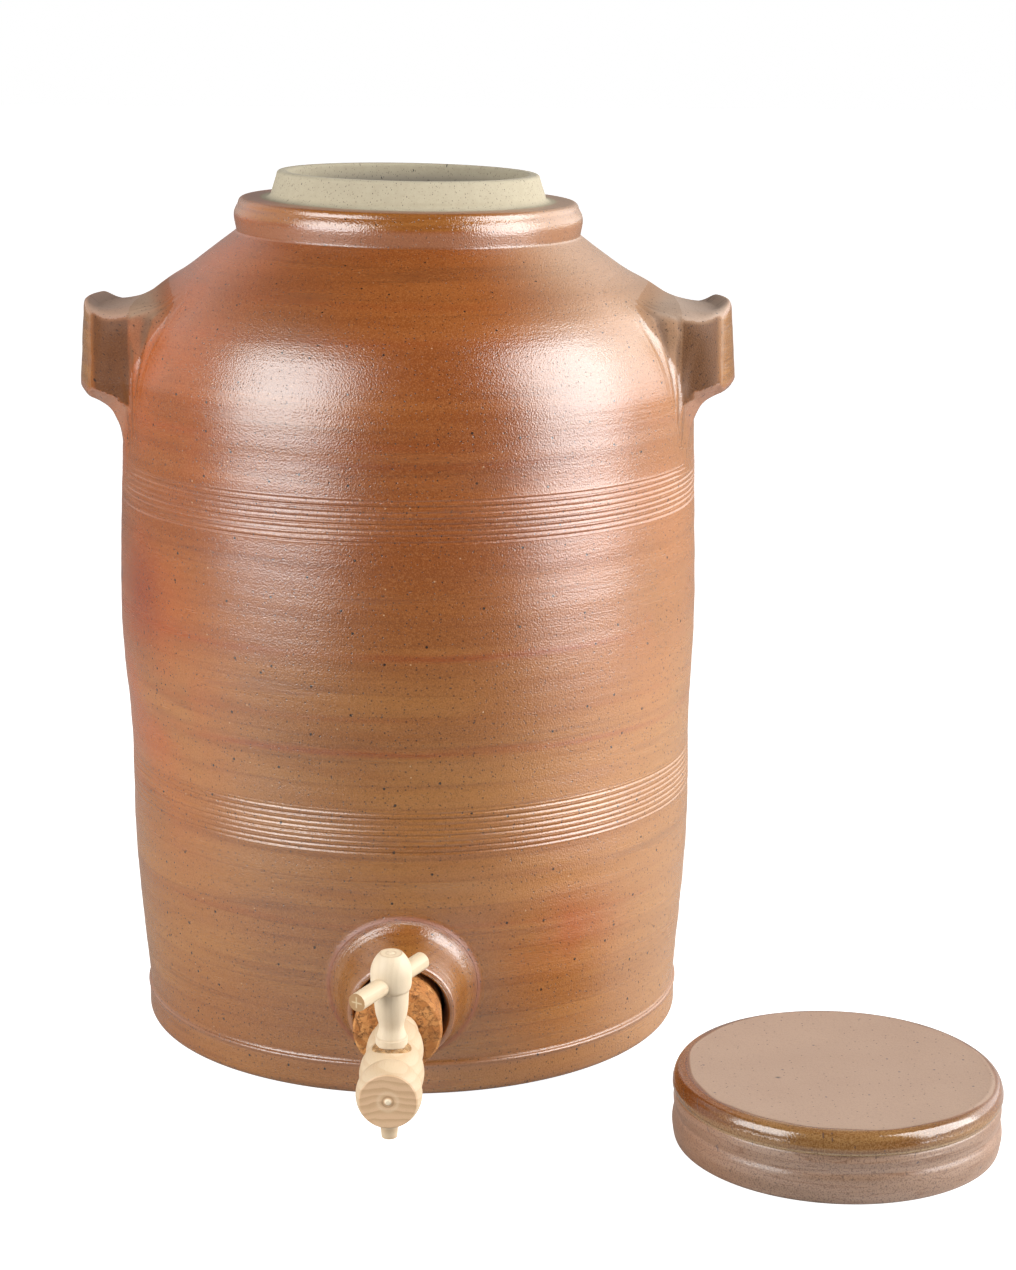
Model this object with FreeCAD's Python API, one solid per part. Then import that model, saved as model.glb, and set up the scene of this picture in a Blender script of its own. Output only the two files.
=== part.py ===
import FreeCAD, Part

import math
import os

from FreeCAD import Placement, Rotation, Vector

# Salt-glazed stoneware water jar with two ear lugs, a turned wooden tap in a cork bung,
# and its loose lid standing beside it.
# Millimetres. +Z is up, the tap points along -Y, the lugs stand out along +X and -X.
# The origin is the centre of the jar's base, on the surface that it stands on.

# ---- Jar body, outside ----
foot_radius = 133.7
foot_height = 14.0
foot_rounding = 4.0
foot_ridge_height = 2.4
foot_ridge_proud = 0.5
foot_step = 0.7
low_belly_radius = 138.4
low_belly_height = 90.0
waist_radius = 138.9
waist_height = 150.0
belly_radius = 141.8
belly_height = 212.0
shoulder_radius = 138.7
shoulder_height = 312.7
shoulder_rounding = 71.5
shoulder_slope = 37.0

# ---- Comb grooves in two bands round the body ----
comb_teeth = 6
comb_pitch = 3.6
groove_depth = 0.7
groove_tool_radius = 1.2
high_band_height = 275.2
low_band_height = 130.5

# ---- Jar body, inside ----
wall = 9.0
base_thickness = 10.0
inner_corner = 14.0

# ---- Collar that the lid rests on, and the neck inside it ----
collar_foot_radius = 82.6
collar_height = 15.6
collar_bulge_radius = 83.9
collar_bulge_height = 6.8
collar_shoulder_radius = 81.9
collar_edge = 2.8
neck_radius = 65.8
neck_height = 13.8
neck_lean = 2.5
neck_root = 3.0
lip_rounding = 2.0
mouth_radius = 57.5

# ---- Ear lugs, closed above and open below for the fingers ----
lug_reach = 21.0
lug_corner_reach = 12.3
lug_corner_half_width = 41.0
lug_root_half_width = 59.0
lug_corner_rounding = 7.0
lug_lean = 2.5
lug_wall = 9.0
lug_roof = 9.0
lug_top_above_shoulder = 42.2
lug_ledge_reach = 3.5
lug_lip_reach = 14.0
lug_lip_rise = 3.0
lug_ledge_root_inset = 13.0
lug_ledge_root_rise = 4.3
lug_ledge_end_inset = 27.0
lug_ledge_end_rise = 12.6
lug_side_height = 36.4
lug_sweep_reach = 9.3
lug_sweep_drop = 43.0
lug_heel_reach = 3.8
lug_heel_drop = 51.5
lug_tail_inset = 0.5
lug_tail_drop = 62.0
lug_top_rounding = 4.5
lug_bevel = 2.6

# ---- Lid ----
lid_gap = 1.3
lid_wall = 5.8
lid_height = 33.0
lid_foot_tuck = 0.8
lid_skirt_bulge = 1.2
lid_skirt_waist_height = 14.5
lid_roll_proud = 1.3
lid_roll_height = 10.3
lid_roll_edge = 3.2
lid_step = 0.6
lid_roof = 7.5
lid_dish = 1.5
lid_ceiling_rounding = 4.0
lid_spacing = 50.6
lid_direction = -42.0

# ---- Tap boss luted to the wall ----
tap_height = 54.5
tap_droop = 4.0
tap_swing = -1.3
boss_radius = 33.2
boss_shoulder_radius = 29.8
boss_shoulder_length = 10.6
boss_toe = 2.0
boss_spread = 1.0
boss_length = 26.5
boss_mouth_radius = 22.4
boss_lip = 2.4
boss_flare_depth = 9.0

# ---- Cork bung ----
cork_radius = 20.2
cork_taper = 0.045
cork_proud = 18.0
cork_inside = 3.0
cork_edge = 1.2

# ---- Turned barrel of the tap: shank, then four beads of growing size ----
shank_radius = 7.0
shank_end_radius = 5.6
shank_overrun = 3.0
tail_bead_length = 4.9
tail_bead_radius = 9.6
tail_groove_radius = 8.8
rear_bead_length = 24.9
rear_bead_radius = 12.5
rear_groove_radius = 11.4
key_bead_length = 23.8
key_bead_radius = 14.1
key_groove_radius = 12.2
nose_bead_length = 15.6
nose_bead_radius = 14.3
nose_face_radius = 12.7
nose_edge = 0.6
water_bore_radius = 2.5
turning_pip_radius = 1.7
turning_pip_height = 0.8

# ---- Cork liner round the key ----
liner_radius = 8.6
key_clearance = 0.08

# ---- Key that turns in the liner ----
key_plug_radius = 5.4
key_plug_taper = 0.04
key_tip_proud = 1.4
key_seat_gap = 0.3
key_collar_radius = 7.0
key_collar_height = 3.4
key_collar_edge = 0.6
key_neck_radius = 5.4
key_neck_rise = 4.3
key_flare_radius = 6.75
key_flare_rise = 6.0
key_line_radius = 7.9
key_line_rise = 11.6
key_head_radius = 8.95
key_head_rise = 7.0
key_crown_radius = 7.8
key_crown_rise = 5.6
key_top_radius = 5.0
key_top_rise = 9.6

# ---- Crossbar dowel through the key's head ----
bar_radius = 4.0
bar_length = 50.6
bar_off_centre = 1.2
bar_below_top = 12.8
bar_angle = 60.3

# ---- Spout nib under the nose bead ----
nib_radius = 4.0
nib_tip_radius = 3.4
nib_proud = 6.0
nib_bore_radius = 2.2

UP = Vector(0, 0, 1)
ACROSS = Vector(1, 0, 0)
OUTWARD = Vector(0, -1, 0)
ORIGIN = Vector(0, 0, 0)


def line(start, end):
    return Part.LineSegment(start, end).toShape()


def arc(start, via, end):
    return Part.Arc(start, via, end).toShape()


def rounding(start, centre, end):
    """The arc from start to end about a centre, by the short way."""
    half_way = (start + end) / 2 - centre
    half_way.normalize()
    return arc(start, centre + half_way * start.distanceToPoint(centre), end)


def curve(points, start_direction=None, end_direction=None):
    """A smooth curve through the points, with end tangents where they are given."""
    spline = Part.BSplineCurve()
    if start_direction is None:
        spline.interpolate(points)
    else:
        spline.interpolate(points, InitialTangent=start_direction, FinalTangent=end_direction)
    return spline.toShape()


def face_inside(edges):
    return Part.Face(Part.Wire(edges))


def at(radius, height):
    """A point of an upright outline that is turned about the Z axis."""
    return Vector(radius, 0, height)


def along(distance, radius):
    """A point of a level outline that is turned about the tap's axis."""
    return Vector(radius, -distance, 0)


def turned(edges, axis=UP):
    return face_inside(edges).revolve(ORIGIN, axis, 360)


# ---------------------------------------------------------------- jar body

def shoulder_end(inset):
    """Where the rounded shoulder runs out into the straight slope, inset from the outside."""
    angle = math.radians(shoulder_slope)
    reach = shoulder_rounding - inset
    return at(shoulder_radius - shoulder_rounding + reach * math.sin(angle),
              shoulder_height + reach * math.cos(angle))


def slope_height(radius, inset):
    """Height of the straight slope at a radius, inset from the outside."""
    start = shoulder_end(inset)
    return start.z + (start.x - radius) * math.tan(math.radians(shoulder_slope))


def body_edges(inset, foot_point):
    """The wall's outline from foot_point up over the shoulder, inset from the outside."""
    belly = [foot_point,
             at(low_belly_radius - inset, low_belly_height),
             at(waist_radius - inset, waist_height),
             at(belly_radius - inset, belly_height),
             at(shoulder_radius - inset, shoulder_height)]
    rise = low_belly_height - foot_point.z
    start_lean = Vector(2 * (belly[1].x - foot_point.x), 0, rise)
    end_lean = Vector(0, 0, shoulder_height - belly_height)
    half_turn = math.radians(90 - shoulder_slope) / 2
    reach = shoulder_rounding - inset
    middle = at(shoulder_radius - shoulder_rounding + reach * math.cos(half_turn),
                shoulder_height + reach * math.sin(half_turn))
    return [curve(belly, start_lean, end_lean),
            arc(belly[-1], middle, shoulder_end(inset))]


def wall_radius(height):
    """Outer radius of the jar's wall at a height."""
    level = line(at(0, height), at(2 * belly_radius, height))
    profile = Part.Wire(body_edges(0, foot_top()))
    return level.distToShape(profile)[1][0][0].x


def foot_top():
    return at(foot_radius - foot_step, foot_height + foot_ridge_height)


def collar_foot_height():
    return slope_height(collar_foot_radius, 0)


def seat_height():
    """Height of the collar's flat top, which the lid rests on."""
    return collar_foot_height() + collar_height


def rim_height():
    return seat_height() + neck_height


def jar_outer_edges():
    """Outline of the jar's outside, from the base's centre to the rim's inner edge."""
    under_edge = at(foot_radius - foot_rounding, 0)
    foot_centre = at(foot_radius - foot_rounding, foot_rounding)
    over_edge = at(foot_radius, foot_rounding)
    ridge_foot = at(foot_radius, foot_height)
    ridge = at(foot_radius + foot_ridge_proud, foot_height + foot_ridge_height / 2)
    slope_foot = at(collar_foot_radius, collar_foot_height())
    bulge = at(collar_bulge_radius, slope_foot.z + collar_bulge_height)
    edge_centre = at(collar_shoulder_radius - collar_edge, seat_height() - collar_edge)
    edge_low = at(collar_shoulder_radius, edge_centre.z)
    seat_outer = at(edge_centre.x, seat_height())
    root_centre = at(neck_radius + neck_root, seat_height() + neck_root)
    seat_inner = at(root_centre.x, seat_height())
    neck_foot = at(neck_radius, root_centre.z)
    lip_outer = at(neck_radius - neck_lean, rim_height() - lip_rounding)
    lip_centre = at(lip_outer.x - lip_rounding, lip_outer.z)
    lip_top = at(lip_centre.x, rim_height())
    return [line(at(0, 0), under_edge),
            rounding(under_edge, foot_centre, over_edge),
            line(over_edge, ridge_foot),
            arc(ridge_foot, ridge, foot_top()),
            *body_edges(0, foot_top()),
            line(shoulder_end(0), slope_foot),
            arc(slope_foot, bulge, edge_low),
            rounding(edge_low, edge_centre, seat_outer),
            line(seat_outer, seat_inner),
            rounding(seat_inner, root_centre, neck_foot),
            line(neck_foot, lip_outer),
            rounding(lip_outer, lip_centre, lip_top)]


def jar_blank():
    """The jar's outside as a solid block, with no inside."""
    edges = jar_outer_edges()
    lip_top = at(neck_radius - neck_lean - lip_rounding, rim_height())
    edges.append(line(lip_top, at(0, rim_height())))
    edges.append(line(at(0, rim_height()), at(0, 0)))
    return turned(edges)


def jar_inside():
    """The space inside the jar, from the floor of the inside up through the mouth."""
    floor_radius = foot_radius - wall
    corner_foot = at(floor_radius - inner_corner, base_thickness)
    corner_centre = at(floor_radius - inner_corner, base_thickness + inner_corner)
    corner_top = at(floor_radius, corner_centre.z)
    throat = at(mouth_radius, slope_height(mouth_radius, wall))
    above_rim = rim_height() + lip_rounding
    return turned([line(at(0, base_thickness), corner_foot),
                   rounding(corner_foot, corner_centre, corner_top),
                   *body_edges(wall, corner_top),
                   line(shoulder_end(wall), throat),
                   line(throat, at(mouth_radius, above_rim)),
                   line(at(mouth_radius, above_rim), at(0, above_rim)),
                   line(at(0, above_rim), at(0, base_thickness))])


def comb_grooves(band_height):
    """The round grooves that one pass of a comb leaves, centred on a height."""
    grooves = []
    for tooth in range(comb_teeth):
        height = band_height + (tooth - (comb_teeth - 1) / 2) * comb_pitch
        ring_radius = wall_radius(height) + groove_tool_radius - groove_depth
        grooves.append(Part.makeTorus(ring_radius, groove_tool_radius, at(0, height), UP))
    return grooves


def make_jar():
    jar = jar_blank().cut([*comb_grooves(high_band_height), *comb_grooves(low_band_height)])
    return jar.cut([jar_inside(), leaned(cork_blank())])


# ---------------------------------------------------------------- ear lugs

def lug_top():
    """Height of the lowest line of the dished ledge."""
    return shoulder_height + lug_top_above_shoulder


def lug_side_foot():
    return lug_top() - lug_side_height


def lug_sides(inset):
    """The space between the lug's front and back walls, seen from above, run out past them."""
    root_half = lug_root_half_width - inset
    behind_wall = Vector(shoulder_radius / 2, -root_half, 0)
    root = Vector(math.sqrt(shoulder_radius ** 2 - root_half ** 2) - lug_wall, -root_half, 0)
    corner = Vector(shoulder_radius + lug_corner_reach, inset - lug_corner_half_width, 0)
    beyond = corner * 2 - root
    near = [behind_wall, root, beyond]
    far = [Vector(point.x, -point.y, 0) for point in reversed(near)]
    return Part.Face(Part.makePolygon([*near, *far, behind_wall]))


def lug_block(inset, low, high):
    """The lug between two heights: flat sides and an outer wall that leans in as it rises."""
    bow = lug_reach - lug_corner_reach
    crown_radius = (lug_corner_half_width ** 2 + bow ** 2) / (2 * bow)
    centre = Vector(shoulder_radius + lug_reach - crown_radius, 0, low)
    slope = lug_lean / lug_side_height
    low_radius = crown_radius - inset - slope * (low - lug_side_foot())
    high_radius = crown_radius - inset - slope * (high - lug_side_foot())
    sides = lug_sides(inset).extrude(UP * (high - low))
    sides.translate(UP * low)
    behind = Part.makeBox(crown_radius, 2 * lug_root_half_width, high - low,
                          Vector(centre.x - crown_radius, -lug_root_half_width, low))
    crown = Part.makeCone(low_radius, high_radius, high - low, centre, UP)
    return sides.common(crown.fuse(behind))


def lug_band():
    """A ring round the shoulder with the lug's ledge above and its swept underside below."""
    top = lug_top()
    behind = shoulder_radius / 2
    under = [at(shoulder_radius + lug_reach, lug_side_foot()),
             at(shoulder_radius + lug_sweep_reach, top - lug_sweep_drop),
             at(shoulder_radius + lug_heel_reach, top - lug_heel_drop),
             at(shoulder_radius - lug_tail_inset, top - lug_tail_drop)]
    beyond = under[0] * 2 - under[1]
    ledge = [at(shoulder_radius - lug_ledge_end_inset, top + lug_ledge_end_rise),
             at(shoulder_radius - lug_ledge_root_inset, top + lug_ledge_root_rise),
             at(shoulder_radius + lug_ledge_reach, top),
             at(shoulder_radius + lug_lip_reach, top + lug_lip_rise),
             at(beyond.x, top + lug_ledge_root_rise)]
    crest = at(behind, top + 2 * lug_ledge_end_rise)
    foot = at(behind, under[-1].z)
    return turned([line(foot, crest),
                   line(crest, ledge[0]),
                   curve(ledge),
                   line(ledge[-1], beyond),
                   line(beyond, under[0]),
                   curve(under),
                   line(under[-1], foot)])


def outer_edges(shape, low, high):
    """The lug's edges that stand clear of the wall and lie between two heights."""
    boxes = [(edge, edge.BoundBox) for edge in shape.Edges]
    return [edge for edge, box in boxes
            if box.ZMin > low and box.ZMax < high and box.XMax > shoulder_radius]


def is_outer_corner(edge):
    """True for an upright edge of the lug that stands clear of the wall."""
    box = edge.BoundBox
    return box.ZLength > lug_tail_drop and box.XMin > shoulder_radius


def make_lug(jar_block):
    """The right-hand lug, cut to lie on the jar's wall."""
    top = lug_top()
    below = top - lug_tail_drop - lug_bevel
    block = lug_block(0, below, top + 2 * lug_ledge_end_rise)
    block = block.makeFillet(lug_corner_rounding,
                             [edge for edge in block.Edges if is_outer_corner(edge)])
    ear = block.common(lug_band())
    ear = ear.makeFillet(lug_top_rounding,
                         outer_edges(ear, top - lug_bevel, top + lug_tail_drop))
    ear = ear.makeChamfer(lug_bevel, outer_edges(ear, below, top - lug_side_height / 2))
    pocket = lug_block(lug_wall, below, top - lug_roof)
    return ear.cut([pocket, jar_block])


# ---------------------------------------------------------------- lid

def lid_radius():
    """Outer radius of the lid's skirt, which drops over the neck with a gap."""
    return neck_radius + lid_gap + lid_wall


def lid_roll_radius():
    return lid_radius() + lid_roll_proud


def lid_outer_edges():
    """The lid's outside from the skirt's foot over the rolled edge to the dished middle."""
    skirt = lid_radius()
    roll = lid_roll_radius()
    roll_foot = lid_height - lid_roll_height
    waist = at(skirt, lid_skirt_waist_height)
    step = at(skirt - lid_step, roll_foot + lid_step)
    roll_top = at(roll - lid_step, lid_height - lid_roll_edge)
    edge_centre = at(roll_top.x - lid_roll_edge, roll_top.z)
    edge_end = at(edge_centre.x, lid_height)
    inward = at(-edge_end.x, 0)
    return [arc(at(skirt - lid_foot_tuck, 0), at(skirt + lid_skirt_bulge, waist.z / 2), waist),
            arc(waist, at(skirt + lid_step, (waist.z + roll_foot) / 2), at(skirt, roll_foot)),
            line(at(skirt, roll_foot), step),
            arc(step, at(roll, (step.z + roll_top.z) / 2), roll_top),
            rounding(roll_top, edge_centre, edge_end),
            curve([edge_end, at(0, lid_height - lid_dish)], inward, inward)]


def lid_inner_edges():
    """The lid's inside from the middle of its ceiling down to the skirt's foot."""
    inner = neck_radius + lid_gap
    ceiling = lid_height - lid_roof
    chamfer = neck_root + lid_gap / 2
    bend_centre = at(inner - lid_ceiling_rounding, ceiling - lid_ceiling_rounding)
    ceiling_edge = at(bend_centre.x, ceiling)
    wall_top = at(inner, bend_centre.z)
    return [line(at(0, lid_height - lid_dish), at(0, ceiling)),
            line(at(0, ceiling), ceiling_edge),
            rounding(ceiling_edge, bend_centre, wall_top),
            line(wall_top, at(inner, chamfer)),
            line(at(inner, chamfer), at(inner + chamfer, 0)),
            line(at(inner + chamfer, 0), at(lid_radius() - lid_foot_tuck, 0))]


def make_lid():
    lid = turned([*lid_outer_edges(), *lid_inner_edges()])
    distance = belly_radius + lid_spacing + lid_roll_radius()
    angle = math.radians(lid_direction)
    lid.translate(Vector(distance * math.cos(angle), distance * math.sin(angle), 0))
    return lid


# ---------------------------------------------------------------- tap
# The tap's pieces are laid out level, with the tap's axis along -Y from the origin and the
# key upright, and then leaned together to stand square to the wall.

def leaned(shape):
    """Puts a level tap piece in its place on the wall."""
    place = Placement(Vector(0, -wall_radius(tap_height), tap_height), Rotation(ACROSS, tap_droop))
    shape = shape.copy()
    shape.Placement = place.multiply(shape.Placement)
    return shape


def set_in_bung(shape):
    """Puts a level piece of the tap in its place, a little askew in the bung as fitted by hand."""
    shape = shape.copy()
    shape.rotate(along(cork_face(), 0), UP, tap_swing)
    return leaned(shape)


def cork_face():
    return boss_length + cork_proud


def cork_end():
    """Where the bung ends inside the jar, measured along the tap's axis from the wall."""
    return -(wall + cork_inside)


def cork_radius_at(distance):
    return cork_radius - cork_taper * (cork_face() - distance)


def cork_blank():
    """The bung with no hole, which is also the shape of its seat."""
    back = along(cork_end(), cork_radius_at(cork_end()))
    bevel = cork_face() - cork_edge
    front = along(bevel, cork_radius_at(bevel))
    face_edge = along(cork_face(), cork_radius - cork_edge)
    return turned([line(along(cork_end(), 0), back),
                   line(back, front),
                   line(front, face_edge),
                   line(face_edge, along(cork_face(), 0)),
                   line(along(cork_face(), 0), along(cork_end(), 0))], OUTWARD)


def make_boss(jar_block):
    """The domed clay ring round the tap hole, with a flared mouth above the bung's seat."""
    flare = along(boss_length - boss_flare_depth, cork_radius_at(boss_length - boss_flare_depth))
    lip_centre = along(boss_length - boss_lip, boss_mouth_radius)
    lip_outer = along(boss_length - boss_lip, boss_mouth_radius + boss_lip)
    mouth = along(boss_length, boss_mouth_radius)
    toe = along(boss_toe, boss_radius)
    sunk = along(-2 * wall, boss_radius + boss_spread)
    ring = turned([line(along(-2 * wall, 0), sunk),
                   line(sunk, toe),
                   curve([toe, along(boss_shoulder_length, boss_shoulder_radius), lip_outer]),
                   rounding(lip_outer, lip_centre, mouth),
                   line(mouth, flare),
                   line(flare, along(boss_length - boss_flare_depth, 0)),
                   line(along(boss_length - boss_flare_depth, 0), along(-2 * wall, 0))], OUTWARD)
    return leaned(ring).cut([leaned(cork_blank()), jar_block])


def shank_end():
    return cork_end() - shank_overrun


def barrel_stations():
    """Distances of the cork face and of the end of each bead, along the tap's axis."""
    stations = [cork_face()]
    for length in (tail_bead_length, rear_bead_length, key_bead_length, nose_bead_length):
        stations.append(stations[-1] + length)
    return stations


def key_station():
    return (barrel_stations()[2] + barrel_stations()[3]) / 2


def nib_station():
    return (barrel_stations()[3] + barrel_stations()[4]) / 2


def barrel_blank():
    """The turned barrel before it is bored: tapered shank, four beads and flat nose."""
    stations = barrel_stations()
    bead_radii = (tail_bead_radius, rear_bead_radius, key_bead_radius, nose_bead_radius)
    ends = (tail_groove_radius, tail_groove_radius, rear_groove_radius, key_groove_radius,
            nose_face_radius)
    face = stations[-1] + nose_edge
    edges = [line(along(shank_end(), 0), along(shank_end(), shank_end_radius)),
             line(along(shank_end(), shank_end_radius), along(stations[0], shank_radius)),
             line(along(stations[0], shank_radius), along(stations[0], ends[0]))]
    for number, radius in enumerate(bead_radii):
        start = along(stations[number], ends[number])
        middle = along((stations[number] + stations[number + 1]) / 2, radius)
        edges.append(arc(start, middle, along(stations[number + 1], ends[number + 1])))
    flat = nose_face_radius - nose_edge
    pip = turning_pip_radius
    pip_end = face + turning_pip_height
    edges += [line(along(stations[-1], nose_face_radius), along(face, flat)),
              line(along(face, flat), along(face, pip)),
              line(along(face, pip), along(pip_end, pip / 2)),
              line(along(pip_end, pip / 2), along(pip_end, 0)),
              line(along(pip_end, 0), along(shank_end(), 0))]
    return turned(edges, OUTWARD)


def shank_hole():
    """The tapered space that the barrel's shank fills in the bung."""
    return turned([line(along(shank_end(), 0), along(shank_end(), shank_end_radius)),
                   line(along(shank_end(), shank_end_radius), along(cork_face(), shank_radius)),
                   line(along(cork_face(), shank_radius), along(cork_face(), 0)),
                   line(along(cork_face(), 0), along(shank_end(), 0))], OUTWARD)


def water_bore():
    """The long bore from inside the jar to above the spout."""
    length = nib_station() - shank_end() + nib_bore_radius
    return Part.makeCylinder(water_bore_radius, length, along(shank_end(), 0), OUTWARD)


def liner_block():
    """The upright plug of cork that is let into the key bead."""
    height = 4 * key_bead_radius
    return Part.makeCylinder(liner_radius, height, along(key_station(), 0) - UP * (height / 2), UP)


def plug_cone(clearance):
    """The key's tapered plug from its tip up to the top of the bead, with a clearance round it."""
    tip = -(key_bead_radius + key_tip_proud)
    top = key_bead_radius + key_seat_gap
    low = key_plug_radius + key_plug_taper * tip + clearance
    high = key_plug_radius + key_plug_taper * top + clearance
    return Part.makeCone(low, high, top - tip, along(key_station(), 0) + UP * tip, UP)


def make_cork():
    return leaned(cork_blank()).cut(set_in_bung(shank_hole()))


def make_barrel():
    return set_in_bung(barrel_blank().cut([liner_block(), water_bore(), nib_blank()]))


def make_liner():
    cork = barrel_blank().common(liner_block())
    return set_in_bung(cork.cut([plug_cone(key_clearance), water_bore()]))


def bar_height():
    return key_heights()[-1] - bar_below_top


def key_heights():
    """Heights of the key's turned features above the tap's axis, collar first, top last."""
    heights = [key_bead_radius + key_seat_gap]
    for rise in (key_collar_height, key_neck_rise, key_flare_rise, key_line_rise, key_head_rise,
                 key_top_rise):
        heights.append(heights[-1] + rise)
    return heights


def bar_direction():
    angle = math.radians(bar_angle)
    return Vector(math.cos(angle), math.sin(angle), 0)


def crossbar_blank():
    centre = along(key_station(), 0) + UP * bar_height() - bar_direction() * bar_off_centre
    start = centre - bar_direction() * (bar_length / 2)
    return Part.makeCylinder(bar_radius, bar_length, start, bar_direction())


def make_key():
    collar, collar_top, neck, flare, burn_line, head, top = key_heights()
    collar_side = at(key_collar_radius, collar_top - key_collar_edge)
    waist = [at(key_collar_radius - key_collar_edge, collar_top),
             at(key_neck_radius, neck),
             at(key_flare_radius, flare),
             at(key_line_radius, burn_line),
             at(key_head_radius, head)]
    crown = at(key_top_radius, top)
    crown_round = at(key_crown_radius, head + key_crown_rise)
    pip = turning_pip_radius
    pip_top = top + turning_pip_height / 2
    upper = turned([line(at(0, collar), at(key_collar_radius, collar)),
                    line(at(key_collar_radius, collar), collar_side),
                    line(collar_side, waist[0]),
                    curve(waist, waist[1] - waist[0], UP * key_head_rise),
                    arc(waist[-1], crown_round, crown),
                    line(crown, at(pip, top)),
                    line(at(pip, top), at(pip / 2, pip_top)),
                    line(at(pip / 2, pip_top), at(0, pip_top)),
                    line(at(0, pip_top), at(0, collar))])
    upper.translate(along(key_station(), 0))
    bore_half = 2 * key_plug_radius
    key_bore = Part.makeCylinder(water_bore_radius, 2 * bore_half,
                                 along(key_station(), 0) - bar_direction() * bore_half,
                                 bar_direction())
    key = upper.fuse(plug_cone(0)).cut([key_bore, crossbar_blank()])
    return set_in_bung(key.removeSplitter())


def make_crossbar():
    return set_in_bung(crossbar_blank())


def nib_blank():
    """The turned nib from the water bore down to its tip."""
    top = -water_bore_radius / 2
    foot = -(nose_bead_radius + nib_proud)
    shoulder = -nose_bead_radius
    nib = turned([line(at(0, foot), at(nib_tip_radius, foot)),
                  line(at(nib_tip_radius, foot), at(nib_radius, shoulder)),
                  line(at(nib_radius, shoulder), at(nib_radius, top)),
                  line(at(nib_radius, top), at(0, top)),
                  line(at(0, top), at(0, foot))])
    nib.translate(along(nib_station(), 0))
    return nib


def make_nib():
    length = nose_bead_radius + nib_proud
    drip = Part.makeCylinder(nib_bore_radius, length, along(nib_station(), 0), -UP)
    return set_in_bung(nib_blank().cut([drip, water_bore()]))


def build():
    block = jar_blank()
    lug = make_lug(block)
    return {
        "jar": make_jar(),
        "tap_boss": make_boss(block),
        "right_lug": lug,
        "left_lug": lug.mirror(ORIGIN, ACROSS),
        "lid": make_lid(),
        "cork_bung": make_cork(),
        "tap_barrel": make_barrel(),
        "key_liner": make_liner(),
        "tap_key": make_key(),
        "key_crossbar": make_crossbar(),
        "spout_nib": make_nib(),
    }


os.makedirs("parts", exist_ok=True)
for name, shape in build().items():
    shape.exportStep("parts/" + name + ".step")
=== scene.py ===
import math
from types import SimpleNamespace

import bpy
import numpy as np
from mathutils import Matrix, Vector


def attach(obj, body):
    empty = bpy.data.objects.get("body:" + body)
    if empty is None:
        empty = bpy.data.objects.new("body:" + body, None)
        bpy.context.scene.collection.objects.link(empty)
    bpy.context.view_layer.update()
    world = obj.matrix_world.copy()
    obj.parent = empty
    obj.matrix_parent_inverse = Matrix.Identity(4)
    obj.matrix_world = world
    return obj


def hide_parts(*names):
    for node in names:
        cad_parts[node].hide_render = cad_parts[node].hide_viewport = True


# Salt-glazed stoneware water jar with a wooden tap, and its loose lid.
# Lengths in the shape code are millimetres; meshes are scaled to metres as they are made.

MM = 0.001
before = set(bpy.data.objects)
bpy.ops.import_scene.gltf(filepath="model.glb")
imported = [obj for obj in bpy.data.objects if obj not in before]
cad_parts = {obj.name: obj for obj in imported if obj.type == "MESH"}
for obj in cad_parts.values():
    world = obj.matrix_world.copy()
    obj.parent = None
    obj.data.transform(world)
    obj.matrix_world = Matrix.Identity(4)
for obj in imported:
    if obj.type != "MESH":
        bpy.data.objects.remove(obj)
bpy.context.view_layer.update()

# ---- Jar, as in the CAD ----
BODY = [(133.0, 16.4), (138.4, 90.0), (138.9, 150.0), (141.8, 212.0), (138.7, 312.7)]
SHOULDER_CENTRE = (67.2, 312.7)
SHOULDER_ROUND = 71.5
SHOULDER_TURN = math.radians(53)
SEAT = 406.22
RIM = 420.02
MOUTH = 57.5
WALL = 9.0
BELLY = 139.0  # a round value for the wall's radius, along which the glaze is laid out

# ---- Comb bands ----
COMB_BANDS = (275.2, 130.5)
COMB_REACH = 11.5
COMB_TEETH = 8
COMB_PITCH = 2.65

# ---- Lugs ----
LUG_WALL = 9.0
POCKET_TOP = 345.9
LUG_SIDE_FOOT = 318.5
LUG_CORNER = (151.0, 46.0)
LUG_ROOT = (116.5, 58.0)
LUG_CROWN = 100.96
LUG_CROWN_X = 58.74
LUG_LEAN = 2.5 / 36.4
LUG_SIDE_LEAN = 0.12
LUG_MIDDLE = 337.0
LUG_HALF_LENGTH = 61.0
LEDGE = [(84.0, 345.0), (98.0, 358.5), (111.7, 364.0), (125.7, 358.8), (142.2, 354.9), (152.7, 354.4),
         (163.0, 354.4)]
UNDER = [(138.2, 292.9), (142.5, 303.4), (148.0, 311.0), (159.7, 316.5), (172.0, 322.0)]
LUG_MESH = 0.85
STROKES = [(48.5, 0.26), (52.5, 0.34), (57.0, 0.30), (62.5, 0.18)]  # each finger mark's place and depth

# ---- Tap ----
TAP_FOOT = (0.0, -136.979, 54.5)
TAP_DROOP = 4.0
TAP_SWING = -1.3
CORK_FACE = 44.5
KEY_STATION = 86.2
KEY_TOP = 56.3
KEY_HOLLOW = 39.6
KEY_COLLAR = 17.6
NOSE = 113.6
BAR_HEIGHT = 43.5
BAR_ANGLE = 60.3
BAR_ENDS = (1.2, 25.1)  # how far its middle is off the key's axis, and half its length

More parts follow.
